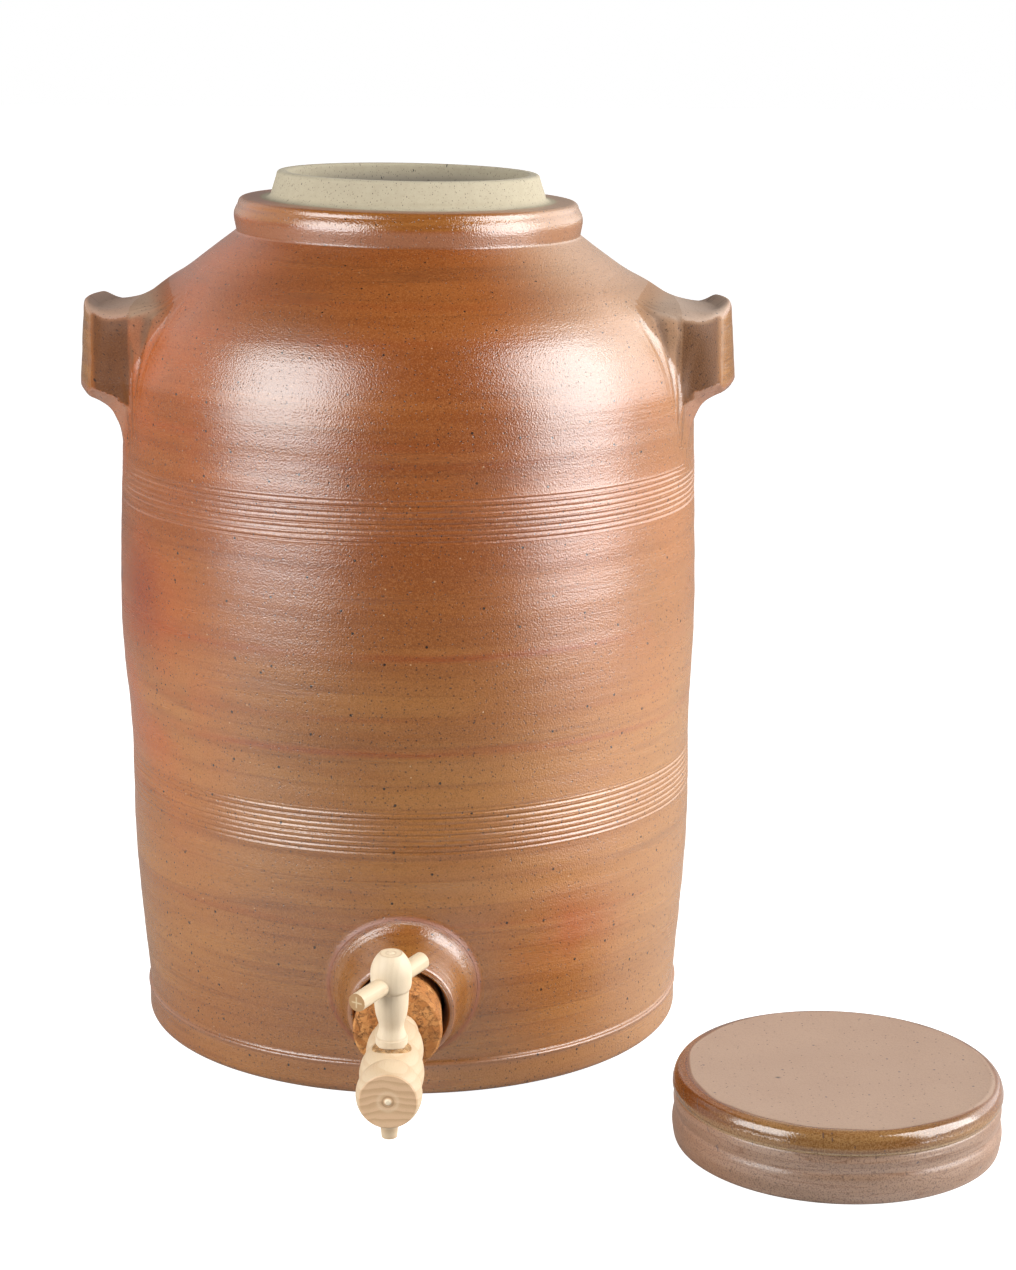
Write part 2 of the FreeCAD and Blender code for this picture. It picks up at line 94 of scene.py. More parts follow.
# ---- Boss ----
WALL_BEND = 272.0  # twice the wall's radius of curvature at the tap, so that x * x / WALL_BEND is its sag
BOSS_MOUTH = 24.1
BOSS_DOME = [(-4.4, 36.8), (-3.0, 36.4), (-1.5, 35.6), (0.0, 34.3), (1.6, 32.6), (3.3, 30.9), (5.3, 29.5),
             (8.5, 28.4), (13.5, 27.4), (19.0, 26.2), (BOSS_MOUTH, 24.8)]
BOSS_LIP = (22.4, 2.4)
BOSS_FLARE = [(26.4, 21.9), (22.0, 20.5), (16.5, 19.3), (12.0, 19.0)]
BOSS_TOE = 34.9
BOSS_THROAT = (-22.9, -21.5)  # less than these from the axis, with the sign turned, it is the mouth's inside

# ---- Lid ----
LID_CENTRE = (198.12, -178.39)
LID_REACH = 74.15


# ================================================================ small maths

def smooth(x, low, high):
    t = np.clip((x - low) / (high - low), 0, 1)
    return t * t * (3 - 2 * t)


def bell(x, centre, width):
    return np.exp(-((x - centre) / width) ** 2)


def soft_min(a, b, size):
    """Union of two solids with a hollow fillet that fades in with no visible start."""
    near = np.maximum(size - np.abs(a - b), 0) / size
    return np.minimum(a, b) - near ** 3 * size / 6


def soft_max(a, b, size):
    return -soft_min(-a, -b, size)


def cut_edge(a, b, width):
    """The corner of two solids with a flat bevel."""
    return np.maximum(np.maximum(a, b), (a + b + width) * math.sqrt(0.5))


def spline(points, count):
    """A smooth curve through the points, as count points of even share per span."""
    p = np.array(points, float)
    slopes = np.gradient(p, axis=0)
    slopes[0], slopes[-1] = p[1] - p[0], p[-1] - p[-2]
    t = np.linspace(0, len(p) - 1, count)
    i = np.minimum(t.astype(int), len(p) - 2)
    u = (t - i)[:, None]
    return ((2 * u ** 3 - 3 * u ** 2 + 1) * p[i] + (u ** 3 - 2 * u ** 2 + u) * slopes[i]
            + (3 * u ** 2 - 2 * u ** 3) * p[i + 1] + (u ** 3 - u ** 2) * slopes[i + 1])


def waves(seed, count, low, high):
    """Random wave numbers and phases for smooth noise."""
    rng = np.random.default_rng(seed)
    return rng.uniform(low, high, (count, 3)) * rng.choice([-1, 1], (count, 3)), rng.uniform(0, 7, count)


def ripple(seed, points, count, low, high):
    """Smooth noise of about unit size at points of any number of columns."""
    numbers, phases = waves(seed, count, low, high)
    return sum(np.sin(points @ k[:points.shape[1]] + phase)
               for k, phase in zip(numbers, phases)) / math.sqrt(count)


# ================================================================ the jar's wall

BODY_CURVE = spline(BODY, 400)


def wall_radius(z):
    return np.interp(z, BODY_CURVE[:, 1], BODY_CURVE[:, 0])


def wall_distance(radius, z):
    """Distance outward from the plain wall and shoulder."""
    across, up = radius - SHOULDER_CENTRE[0], z - SHOULDER_CENTRE[1]
    turn = np.arctan2(up, across)
    c, s = math.cos(SHOULDER_TURN), math.sin(SHOULDER_TURN)
    slope = across * c + up * s - SHOULDER_ROUND
    rounded = np.where(turn < SHOULDER_TURN, np.hypot(across, up) - SHOULDER_ROUND, slope)
    return np.where(up < 0, radius - wall_radius(z), rounded)


def throwing(angle, z):
    """How far the thrown wall stands out of its plain outline."""
    climb = z + 4.5 * angle / math.tau
    low = ripple(3, np.stack([np.cos(angle) * 1.5, np.sin(angle) * 1.5, z / 60], -1), 6, 0.4, 1.5)
    rings = (0.10 * np.sin(climb * math.tau / 21 + 2 * low) * (0.6 + 0.4 * np.sin(z / 31 + angle))
             + 0.03 * np.sin(climb * math.tau / 9.3 + 3 * low))
    body = smooth(z, 18, 40) * (1 - smooth(z, 372, 388))
    return (0.25 * low + rings) * body


def comb(angle, z):
    """Depth of the comb grooves, negative into the wall, with the burr beside them."""
    depth = np.zeros_like(z)
    faint = 1 - 0.55 * bell(np.cos(angle - math.radians(205)), 1, 0.12)
    for band, height in enumerate(COMB_BANDS):
        sway = 0.5 * np.sin(angle + band) + 0.22 * np.sin(3 * angle + 2 * band)
        for tooth in range(COMB_TEETH):
            middle = height + (tooth - (COMB_TEETH - 1) / 2) * COMB_PITCH + sway
            middle = middle + 0.12 * np.sin(5 * angle + 9 * tooth)
            press = (0.32 + 0.08 * np.sin(2 * angle + 4 * tooth) + 0.14 * (tooth in (0, 3, 6))) * faint
            depth -= press * bell(z, middle, 0.42)
            depth += 0.10 * faint * (bell(z, middle + 0.9, 0.36) + bell(z, middle - 0.9, 0.36))
    return depth


def askew(p):
    """The jar as thrown by hand: a belly a little off centre and a shoulder that leans to one side."""
    x, y, z = p.T
    off = 1.0 * (1 - smooth(z, 110, 190)) - 0.5 * smooth(z, 150, 210) * (1 - smooth(z, 240, 300))
    lean = 0.0155 * smooth(z, 356, 386)
    lower = 1.0 * smooth(z, 406, 419)
    return np.stack([x + off, y, z - lean * x - lower], -1)


def throw(p):
    """Moves points of the jar, its lugs and its boss with the thrown wall."""
    angle = np.arctan2(p[:, 1], p[:, 0])
    out = np.stack([np.cos(angle), np.sin(angle), np.zeros(len(p))], -1)
    return askew(p + out * throwing(angle, p[:, 2])[:, None])


# ================================================================ meshes

def grid_faces(rows, columns):
    """Quads of a grid of points, whose last column joins the first."""
    i, j = np.meshgrid(np.arange(rows - 1), np.arange(columns), indexing="ij")
    k = (j + 1) % columns
    return np.stack([i * columns + j, i * columns + k, (i + 1) * columns + k, (i + 1) * columns + j],
                    -1).reshape(-1, 4)


def mesh_object(name, points, faces, material, body, masks):
    """A smooth mesh in metres from points in millimetres, riding on a CAD body.

    Each mask is stored as an attribute of the points; one that a mesh doesn't carry reads as 0.
    """
    mesh = bpy.data.meshes.new(name)
    mesh.from_pydata((points * MM).tolist(), [], faces.tolist())
    mesh.polygons.foreach_set("use_smooth", np.ones(len(mesh.polygons), bool))
    for key, values in masks.items():
        attribute = mesh.attributes.new(key, "FLOAT", "POINT")
        attribute.data.foreach_set("value", np.broadcast_to(values, len(points)).astype(np.float32))
    mesh.materials.append(material)
    mesh.update()
    shape = bpy.data.objects.new(name, mesh)
    bpy.context.scene.collection.objects.link(shape)
    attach(shape, body)
    return shape


def turned_points(outline, columns):
    """The outline's (radius, height) points turned about Z."""
    angle = np.arange(columns) * math.tau / columns
    radius, height = outline[:, :1], outline[:, 1:]
    return np.stack([radius * np.cos(angle), radius * np.sin(angle),
                     np.broadcast_to(height, (len(outline), columns))], -1).reshape(-1, 3)


def surface_net(value, low, step):
    """Points and quads of the zero surface of a field sampled on a box grid."""
    cells = tuple(n - 1 for n in value.shape)
    total, count = np.zeros(cells + (3,), np.float32), np.zeros(cells, np.float32)
    crossings = []
    for axis in range(3):
        others = [k for k in range(3) if k != axis]
        first, second = [slice(None)] * 3, [slice(None)] * 3
        first[axis], second[axis] = slice(0, -1), slice(1, None)
        a, b = value[tuple(first)], value[tuple(second)]
        cross = (a < 0) != (b < 0)
        share = np.where(cross, a / np.where(cross, a - b, 1), 0)
        crossings.append((axis, others, cross, a))
        for du in (0, 1):
            for dv in (0, 1):
                part = [slice(None)] * 3
                part[others[0]] = slice(du, value.shape[others[0]] - 1 + du)
                part[others[1]] = slice(dv, value.shape[others[1]] - 1 + dv)
                hit = cross[tuple(part)]
                count += hit
                total[..., axis] += share[tuple(part)]
                total[..., others[0]] += hit * du
                total[..., others[1]] += hit * dv
    active = count > 0
    number = np.full(cells, -1)
    number[active] = np.arange(active.sum())
    points = (np.argwhere(active) + total[active] / count[active][:, None]) * step + low
    faces = []
    for axis, others, cross, a in crossings:
        edge = np.argwhere(cross)
        for k in others:
            edge = edge[(edge[:, k] > 0) & (edge[:, k] < value.shape[k] - 1)]
        corners = []
        for du, dv in ((0, 0), (-1, 0), (-1, -1), (0, -1)):
            cell = edge.copy()
            cell[:, others[0]] += du
            cell[:, others[1]] += dv
            corners.append(number[tuple(cell.T)])
        quad = np.stack(corners, -1)
        turn = (a[tuple(edge.T)] < 0) != (axis == 1)
        faces.append(np.where(turn[:, None], quad, quad[:, ::-1]))
    return points, np.concatenate(faces)


def gradient(field, p, reach=0.05):
    steps = np.eye(3) * reach
    return np.stack([(field(p + s) - field(p - s)) / (2 * reach) for s in steps], -1)


def settle(field, p, rounds=4):
    """Moves points along the field's slope on to its zero surface."""
    for _ in range(rounds):
        slope = gradient(field, p)
        p = p - slope * (field(p) / np.maximum((slope ** 2).sum(-1), 0.05))[:, None]
    return p


def without_loose(points, faces, masks, keep):
    """Drops the faces that have no kept point, and the points that are then unused."""
    faces = faces[keep[faces].any(1)]
    used = np.zeros(len(points), bool)
    used[faces] = True
    number = np.cumsum(used) - 1
    return points[used], number[faces], {k: v[used] for k, v in masks.items()}


# ================================================================ node trees

class Nodes:
    """A node tree with short calls for the nodes that the finishes and the world use."""

    def __init__(self, tree):
        self.tree = tree

    def node(self, kind, *inputs, out=0, **settings):
        node = self.tree.nodes.new("ShaderNode" + kind)
        for key, value in settings.items():
            setattr(node, key, value)
        for socket, value in zip(node.inputs, inputs):
            self.give(socket, value)
        return node.outputs[out]

    def give(self, socket, value):
        if value is None:
            return
        if isinstance(value, bpy.types.NodeSocket):
            self.tree.links.new(value, socket)
        elif socket.type == "RGBA":
            socket.default_value = colour(value)
        else:
            socket.default_value = value

    def math(self, operation, a, b=0.0, c=0.0, clamp=False):
        return self.node("Math", a, b, c, operation=operation, use_clamp=clamp)

    def add(self, a, b):
        return self.math("ADD", a, b)

    def times(self, a, b, clamp=False):
        return self.math("MULTIPLY", a, b, clamp=clamp)

    def less(self, a, b):
        return self.math("SUBTRACT", a, b)

    def hypot(self, a, b):
        return self.math("SQRT", self.add(self.times(a, a), self.times(b, b)))

    def step(self, value, low, high):
        """0 below low, 1 above high, smooth between; low may be above high."""
        return self.node("MapRange", value, low, high, 0.0, 1.0, interpolation_type="SMOOTHSTEP")

    def bell(self, value, centre, width):
        away = self.times(self.less(value, centre), 1 / width)
        return self.math("POWER", math.e, self.times(self.times(away, away), -1.0))

    def place(self, scale=1.0, where=(0, 0, 0), turn=(0, 0, 0), vector=None):
        """Coordinates in millimetres of a frame at a place and turn in the row frame."""
        if vector is None:
            vector = self.node("TexCoord", out=3)
        return self.node("Mapping", vector, where, [math.radians(a) for a in turn],
                         (scale,) * 3, vector_type="TEXTURE")

    def split(self, vector):
        node = self.tree.nodes.new("ShaderNodeSeparateXYZ")
        self.tree.links.new(vector, node.inputs[0])
        return tuple(node.outputs)

    def join(self, x, y, z):
        return self.node("CombineXYZ", x, y, z)

    def noise(self, vector, scale=1.0, detail=2.0, rough=0.5, warp=0.0):
        return self.node("TexNoise", vector, None, scale, detail, rough, None, None, None, warp)

    def cells(self, vector, scale, feature="F1", out="Distance", flat=False):
        node = self.tree.nodes.new("ShaderNodeTexVoronoi")
        node.feature, node.voronoi_dimensions = feature, "2D" if flat else "3D"
        self.give(node.inputs["Vector"], vector)
        node.inputs["Scale"].default_value = scale
        return node.outputs[out]

    def mix(self, share, a, b, blend="MIX"):
        node = self.tree.nodes.new("ShaderNodeMix")
        node.data_type, node.blend_type = "RGBA", blend
        self.give(node.inputs[0], share)
        self.give(node.inputs[6], a)
        self.give(node.inputs[7], b)
        return node.outputs[2]

    def blend(self, share, a, b):
        node = self.tree.nodes.new("ShaderNodeMix")
        self.give(node.inputs[0], share)
        self.give(node.inputs[2], a)
        self.give(node.inputs[3], b)
        return node.outputs[0]

    def mask(self, name):
        return self.node("Attribute", attribute_name=name, out=2)

    def relief(self, height, depth, under=None):
        """A bump of that height in millimetres."""
        node = self.tree.nodes.new("ShaderNodeBump")
        node.inputs["Distance"].default_value = depth * MM
        self.give(node.inputs["Height"], height)
        if under is not None:
            self.give(node.inputs["Normal"], under)
        return node.outputs[0]


class Shade(Nodes):
    """A new material, whose constants are set by name and whose finish returns it."""

    def __init__(self, name, **constants):
        self.material = bpy.data.materials.new(name)
        self.material.use_nodes = True
        super().__init__(self.material.node_tree)
        self.shader = self.tree.nodes["Principled BSDF"]
        for key, value in constants.items():
            self.shader.inputs[{"ior": "IOR", "roughness": "Roughness"}[key]].default_value = value

    def finish(self, **surface):
        for key, value in surface.items():
            self.give(self.shader.inputs[key.replace("_", " ").title()], value)
        return self.material


def colour(value):
    """Linear colour from one written as an sRGB hex number; another value stays as it is."""
    if not isinstance(value, str):
        return value
    parts = [int(value[i:i + 2], 16) / 255 for i in (0, 2, 4)]
    return [p / 12.92 if p <= 0.04045 else ((p + 0.055) / 1.055) ** 2.4 for p in parts] + [1.0]


# ================================================================ finishes

# Height, half width and share of the dark bands that run round the jar.
GLAZE_BANDS = ((309, 2.4, 0.85), (299, 1.6, 0.6), (322, 1.8, 0.5), (213.5, 2.0, 0.85), (184, 1.3, 0.45),
               (168.5, 1.8, 0.75), (352, 2.5, 0.6), (368, 1.8, 0.5), (84, 1.6, 0.4))


def specks(s, flat, scale, share, size, seed):
    """Spots about size millimetres across, on that share of the cells of a flat layout of the surface."""
    here = s.node("VectorMath", flat, (seed, 3.1 * seed, 0), operation="ADD")
    near = s.cells(here, 1 / scale, flat=True)
    pick = s.split(s.cells(here, 1 / scale, out="Color", flat=True))[0]
    chosen = s.step(pick, 1 - share, 1 - share + 0.001)
    return s.times(chosen, s.step(near, size / scale, 0.45 * size / scale))


def glaze_layout(s):
    """Coordinates and noises that the parts of the glaze share; u is -1 at the left and 1 at the right."""
    p = s.place(MM)
    x, y, z = s.split(p)
    radius = s.hypot(x, y)
    u, v = s.math("DIVIDE", x, radius), s.math("DIVIDE", y, radius)
    around = s.times(s.math("ARCTAN2", x, s.times(y, -1.0)), BELLY)

    def streak(around, up, detail, shift):
        return s.noise(s.join(s.times(u, around), s.times(v, around), s.times(s.add(z, shift), up)),
                       1.0, detail, 0.55)

    return SimpleNamespace(
        p=p, z=z, u=u, flat=s.join(around, s.add(z, s.times(s.less(BELLY, radius), 0.8)), 0.0),
        broad=streak(0.8, 1 / 30, 3.0, 0), lines=streak(1.3, 1 / 7.5, 4.0, 200),
        fine=streak(2.2, 1 / 1.7, 3.0, 500), contour=streak(0.12, 1 / 15, 2.0, 900),
        cloud=s.noise(p, 1 / 60, 3.0, 0.55), grain=s.noise(p, 1 / 0.7, 2.0, 0.6), high=s.step(z, 150, 290))


def wheel_streaks(s, c):
    """Brown and tan, redder above, with the lines and bands that the wheel draws."""
    brown = s.mix(c.high, "865325", "7E4014")
    tan = s.mix(c.high, "936230", "8C4E1F")
    base = s.mix(s.step(s.add(s.times(c.broad, 0.6), s.times(c.lines, 0.4)), 0.40, 0.62), brown, tan)
    base = s.mix(s.times(s.step(c.lines, 0.56, 0.72), 0.4), base, "683415")
    base = s.mix(s.times(s.step(c.fine, 0.55, 0.8), 0.18), base, "5F391E")
    drawn = s.times(s.bell(c.contour, 0.5, 0.012), s.step(c.lines, 0.40, 0.55))
    shade = s.times(s.step(c.contour, 0.42, 0.5), s.step(c.contour, 0.505, 0.495))
    base = s.mix(s.times(drawn, 0.35), base, "5A2C0E")
    base = s.mix(s.times(shade, 0.18), base, "6A3410")
    sway = s.add(c.z, s.times(s.less(c.broad, 0.5), 9.0))
    for height, width, share in GLAZE_BANDS:
        band = s.times(s.bell(sway, height, width), s.times(s.step(c.lines, 0.3, 0.6), share))
        base = s.mix(band, base, "7E3A10")
    return base


def kiln_marks_and_painted_light(s, c, base):
    """Orange flashing at the sides, with painted light: the sides made lighter, most of all on the right, and
    greyer patches painted where the shoulder's highlights fall.
    """
    u, z = c.u, c.z
    left = s.times(s.bell(u, -0.93, 0.28), s.step(z, 60, 190))
    right = s.times(s.bell(u, 0.90, 0.22), s.step(z, 120, 230))
    flash = s.times(s.add(left, s.times(right, 0.5)), s.step(s.add(c.cloud, s.times(c.lines, 0.3)), 0.45, 0.85))
    base = s.mix(s.times(flash, 0.9, clamp=True), base, "9C4A12")
    patch = s.add(s.times(s.bell(u, 0.55, 0.16), s.bell(z, 74, 17)),
                  s.times(s.bell(u, 0.81, 0.016), s.bell(z, 220, 4)))
    base = s.mix(s.times(patch, s.step(c.cloud, 0.3, 0.6), clamp=True), base, "8E4519")
    # Painted light: the base made lighter towards both sides, more on the right, as the lamps light them.
    painted_side_light = s.add(s.step(u, 0.1, 0.75), s.times(s.step(u, -0.3, -0.8), 0.5))
    base = s.mix(s.times(painted_side_light, s.blend(c.high, 1.0, 0.55)), base, (1.42, 1.36, 1.24, 1), "MULTIPLY")
    # Painted light: paler tan towards the right side and on the right of the shoulder.
    base = s.mix(s.times(s.step(u, 0.5, 0.95), 0.45), base, "A98660")
    base = s.mix(s.times(s.step(u, 0.3, 0.8), s.times(s.step(z, 318, 350), 0.45)), base, "A98A68")
    # Painted highlight tone: greyer patches where the two highlights on the shoulder fall.
    dull = s.add(s.times(s.bell(u, -0.42, 0.18), s.bell(z, 335, 30)),
                 s.times(s.bell(u, 0.58, 0.15), s.bell(z, 333, 32)))
    base = s.mix(s.times(dull, 0.4), base, "75604E")
    base = s.mix(s.times(s.bell(u, -0.88, 0.09), s.times(s.bell(z, 228, 28), 0.95)), base, "863406")
    return s.mix(s.times(s.bell(u, -0.977, 0.004), s.bell(z, 228, 3.0)), base, "2E160A")


def masked_colours(s, c, base):
    """The colours of the lugs, the boss, the collar, the foot and the bare neck, where their masks are."""
    dark, grain = s.mask("dark"), c.grain
    # Dark brown: the lugs' own dark fronts, and painted shade at the lugs' roots and finger marks, under the
    # collar and in the boss's mouth.
    base = s.mix(s.times(dark, 0.9), base, s.mix(grain, "341B0B", "6A421F"))
    base = s.mix(s.mask("ochre"), base, s.mix(s.step(c.fine, 0.35, 0.7), "94642E", "7C4E20"))
    base = s.mix(s.mask("pink"), base, s.mix(grain, "8E5B40", "9C7054"))
    base = s.mix(s.times(s.mask("rust"), 0.6), base, "7A3417")
    # Ledge greys: partly the ledges' paler glaze and partly painted sheen from above, set apart left and right for
    # the light on each side.
    grey = s.mix(s.step(c.u, 0.4, 0.9), s.mix(grain, "8E735F", "A48972"), s.mix(grain, "87715F", "A48F7E"))
    base = s.mix(s.mask("pale"), base, grey)
    clay = s.mix(s.noise(c.p, 1 / 4.0, 4.0, 0.6), "9C9179", "ACA289")
    clay = s.mix(s.times(s.step(grain, 0.5, 0.8), 0.35), clay, "85795D")
    # Painted shade: the bare clay inside the jar darker and greyer down from the rim.
    clay = s.mix(dark, clay, s.mix(c.lines, "6F675B", "857C6E"))
    return s.mix(s.mask("raw"), base, clay)


def glaze(name, ior):
    """Salt glaze: streaks from the wheel, marks of the kiln, painted light on the sides and shoulder, iron specks,
    orange peel.
    """
    s = Shade(name, ior=ior)
    c = glaze_layout(s)
    base = kiln_marks_and_painted_light(s, c, wheel_streaks(s, c))
    base = s.mix(s.times(s.step(c.grain, 0.48, 0.70), 0.36), base, "A87244")
    base = s.mix(s.times(s.step(c.grain, 0.50, 0.30), 0.36), base, "4C2912")
    base = masked_colours(s, c, base)
    pepper = s.add(specks(s, c.flat, 5.0, 0.45, 0.56, 11.0), specks(s, c.flat, 2.6, 0.34, 0.38, 31.0))
    iron = specks(s, c.flat, 19.0, 0.40, 0.85, 57.0)
    pits = specks(s, c.flat, 11.0, 0.07, 0.50, 83.0)
    base = s.mix(s.times(pepper, 0.75, clamp=True), base, "2E190E")
    base = s.mix(s.times(iron, 0.95), base, "140C08")
    base = s.mix(s.times(pits, 0.5), base, "CDAA80")

    dark, raw, ring = s.mask("dark"), s.mask("raw"), s.mask("ring")
    peel = s.cells(c.p, 1 / 0.7, feature="SMOOTH_F1")
    turned = s.noise(s.join(ring, s.times(c.cloud, 2.0), 0.0), 1.5, 3.0, 0.65)
    matt = s.math("MAXIMUM", s.mask("rust"), s.mask("matt"))
    rough = s.blend(dark, s.blend(s.mask("gloss"), s.blend(c.lines, 0.22, 0.31), 0.17), 0.33)
    rough = s.blend(raw, s.blend(s.mask("pale"), s.blend(matt, rough, 0.55), 0.8), 0.9)
    shape = s.relief(s.times(s.less(1.0, raw), peel), 0.12)
    shape = s.relief(s.times(c.fine, s.less(1.0, dark)), 0.09, shape)
    shape = s.relief(s.times(turned, s.step(ring, 18.0, 20.0)), 0.32, shape)
    shape = s.relief(c.grain, 0.05, shape)
    shape = s.relief(s.less(pits, pepper), 0.05, shape)
    return s.finish(base_color=base, roughness=rough, normal=shape)


def lid_clay():
    """The lid: matt pinkish clay on top, a glossy ochre rolled edge, a pinkish skirt with few streaks."""
    s = Shade("lid_stoneware", ior=1.75)
    p = s.place(MM, (LID_CENTRE[0] * MM, LID_CENTRE[1] * MM, 0))
    x, y, z = s.split(p)
    radius = s.hypot(x, y)
    u, v = s.math("DIVIDE", x, radius), s.math("DIVIDE", y, radius)
    grain = s.noise(p, 1 / 0.7, 2.0, 0.6)
    cloud = s.noise(p, 1 / 26, 3.0, 0.5)
    lines = s.noise(s.join(s.times(u, 0.9), s.times(v, 0.9), s.times(z, 0.22)), 1.0, 2.0, 0.5, 0.3)
    edge, inside = s.mask("edge"), s.mask("raw")
    side = s.math("MAXIMUM", s.step(u, -0.45, -0.95), s.times(s.step(u, 0.7, 1.0), 0.7))
    top = s.mix(cloud, "937967", "9D8471")
    skirt = s.mix(s.step(lines, 0.3, 0.7), "876A56", "9C7F6C")
    skirt = s.mix(s.times(s.bell(lines, 0.5, 0.010), 0.55), skirt, "6E452A")
    skirt = s.mix(s.times(side, 0.5), skirt, "94603C")
    roll = s.mix(s.step(lines, 0.35, 0.65), "6E4520", "8A643A")
    roll = s.mix(s.times(s.bell(z, 23.2, 0.75), 0.8), roll, "C8AE86")
    roll = s.mix(s.times(side, s.step(z, 25.0, 28.0)), roll, "6C3406")
    base = s.mix(s.step(z, 21.8, 23.4), skirt, roll)
    shore = s.times(s.times(edge, s.less(1.0, edge)), 4.0)
    base = s.mix(s.times(shore, 0.8), s.mix(edge, base, top), "6E3E18")
    base = s.mix(s.times(s.times(s.step(grain, 0.50, 0.34), s.less(1.0, edge)), 0.5), base, "4A2C12")
    base = s.mix(s.times(s.step(grain, 0.48, 0.70), 0.30), base, "A28462")
    base = s.mix(s.times(s.step(grain, 0.50, 0.30), 0.26), base, "5E422E")
    base = s.mix(inside, base, s.mix(grain, "9E9078", "B0A48C"))
    flat = s.join(x, s.less(y, z), 0.0)
    base = s.mix(s.times(specks(s, flat, 4.6, 0.34, 0.50, 5.0), 0.8), base, "54423A")
    base = s.mix(s.times(specks(s, flat, 17.0, 0.3, 0.80, 23.0), 0.8), base, "4A4048")
    spot = s.times(s.bell(x, -27.5, 1.1), s.bell(y, -7.0, 0.8))
    base = s.mix(s.times(spot, edge), base, "2E2A30")
    gloss = s.times(s.step(z, 22.0, 24.0), s.less(1.0, edge))
    rough = s.blend(gloss, s.blend(edge, 0.30, 0.75), 0.13)
    shape = s.relief(s.cells(p, 1 / 1.2, feature="SMOOTH_F1"), 0.05)
    shape = s.relief(grain, 0.05, shape)
    shape = s.relief(lines, 0.10, shape)
    return s.finish(base_color=base, roughness=rough, normal=shape)


def tap_place(s, station):
    """Millimetre coordinates of the tap: X across, Y back along its axis from a station, Z up."""
    p = s.place(MM, [c * MM for c in TAP_FOOT], (TAP_DROOP, 0, 0))
    p = s.place(1.0, (0, -CORK_FACE, 0), (0, 0, TAP_SWING), p)
    return s.node("VectorMath", p, (0, station - CORK_FACE, 0), operation="ADD")


def wood(name, light, late, pore, place, pitch, fibre, face):
    """Fine pale wood: growth layers across one axis, fibre along another, small pores."""
    s = Shade(name, ior=1.45)
    p = place(s)
    axes = s.split(p)

    def drawn_out(along, across, detail, rough):
        squeeze = [along if k == fibre else across for k in range(3)]
        return s.noise(s.node("VectorMath", p, squeeze, operation="MULTIPLY"), 1.0, detail, rough)

    bend = s.times(drawn_out(0.012, 0.07, 2.0, 0.5), 5.0)
    third = axes[3 - fibre - face]
    layer = s.add(s.add(axes[face], bend), s.times(s.times(third, third), 0.010))
    layer = s.add(layer, s.times(s.noise(s.join(layer, 0.0, 0.0), 0.22, 1.0), 3.5))
    ring = s.math("FRACT", s.times(layer, 1 / pitch))
    ring = s.times(s.step(ring, 0.15, 0.9), s.step(ring, 1.0, 0.93))
    strand = drawn_out(0.09, 2.2, 4.0, 0.6)
    spot = drawn_out(0.2, 4.5, 2.0, 0.5)
    base = s.mix(s.times(ring, s.add(0.15, s.times(strand, 0.45))), light, late)
    base = s.mix(s.times(s.step(strand, 0.5, 0.8), 0.35), base, late)
    base = s.mix(s.times(s.step(spot, 0.62, 0.75), 0.3), base, pore)
    base = s.mix(s.times(s.noise(p, 1 / 9, 2.0), 0.25), base, "D8C4A4")
    return s, p, base, ring, strand, spot


def barrel_wood():
    s, p, base, ring, strand, spot = wood(
        "turned_maple", "C6AF90", "B3906B", "93704C", lambda s: tap_place(s, 0), 3.6, 1, 2)
    x, y, z = s.split(p)
    face = s.step(y, -NOSE, -NOSE - 0.5)
    radius = s.hypot(x, z)
    end = s.mix(s.times(ring, s.add(0.35, s.times(spot, 0.6)), clamp=True), "D2AF8B", "B6926C")
    end = s.mix(s.times(s.bell(radius, 4.2, 0.8), 0.45), end, "DCC3A2")
    end = s.mix(s.times(s.bell(radius, 2.4, 0.35), 0.6), end, "957350")
    end = s.mix(s.step(radius, 1.7, 1.2), end, "E0D0B4")
    base = s.mix(face, base, s.mix(s.times(s.step(spot, 0.5, 0.7), 0.3), end, "9A7652"))
    shape = s.relief(strand, 0.05)
    shape = s.relief(s.math("SINE", s.times(y, 9.0)), 0.003, shape)
    return s.finish(base_color=base, roughness=s.blend(strand, 0.42, 0.6), normal=shape)


def key_wood():
    s, p, base, _, strand, _ = wood(
        "turned_key_wood", "D5C3A8", "CAB69A", "A18A6C", lambda s: tap_place(s, KEY_STATION), 3.1, 2, 0)
    x, y, z = s.split(p)
    line = s.times(s.bell(z, KEY_HOLLOW, 0.28), s.step(s.noise(p, 1 / 3.0), 0.3, 0.6))
    base = s.mix(s.times(line, 0.5), base, "8F7650")
    base = s.mix(s.times(s.bell(z, KEY_COLLAR, 0.35), 0.4), base, "A88A68")
    turned = s.hypot(x, y)
    circles = s.add(s.bell(turned, 4.6, 0.35), s.times(s.bell(turned, 2.2, 0.3), 0.8))
    base = s.mix(s.times(s.times(circles, s.step(z, KEY_TOP - 1.2, KEY_TOP - 0.5)), 0.5), base, "A88A68")
    shape = s.relief(strand, 0.04)
    shape = s.relief(s.math("SINE", s.times(z, 8.0)), 0.0025, shape)
    return s.finish(base_color=base, roughness=s.blend(strand, 0.42, 0.58), normal=shape)


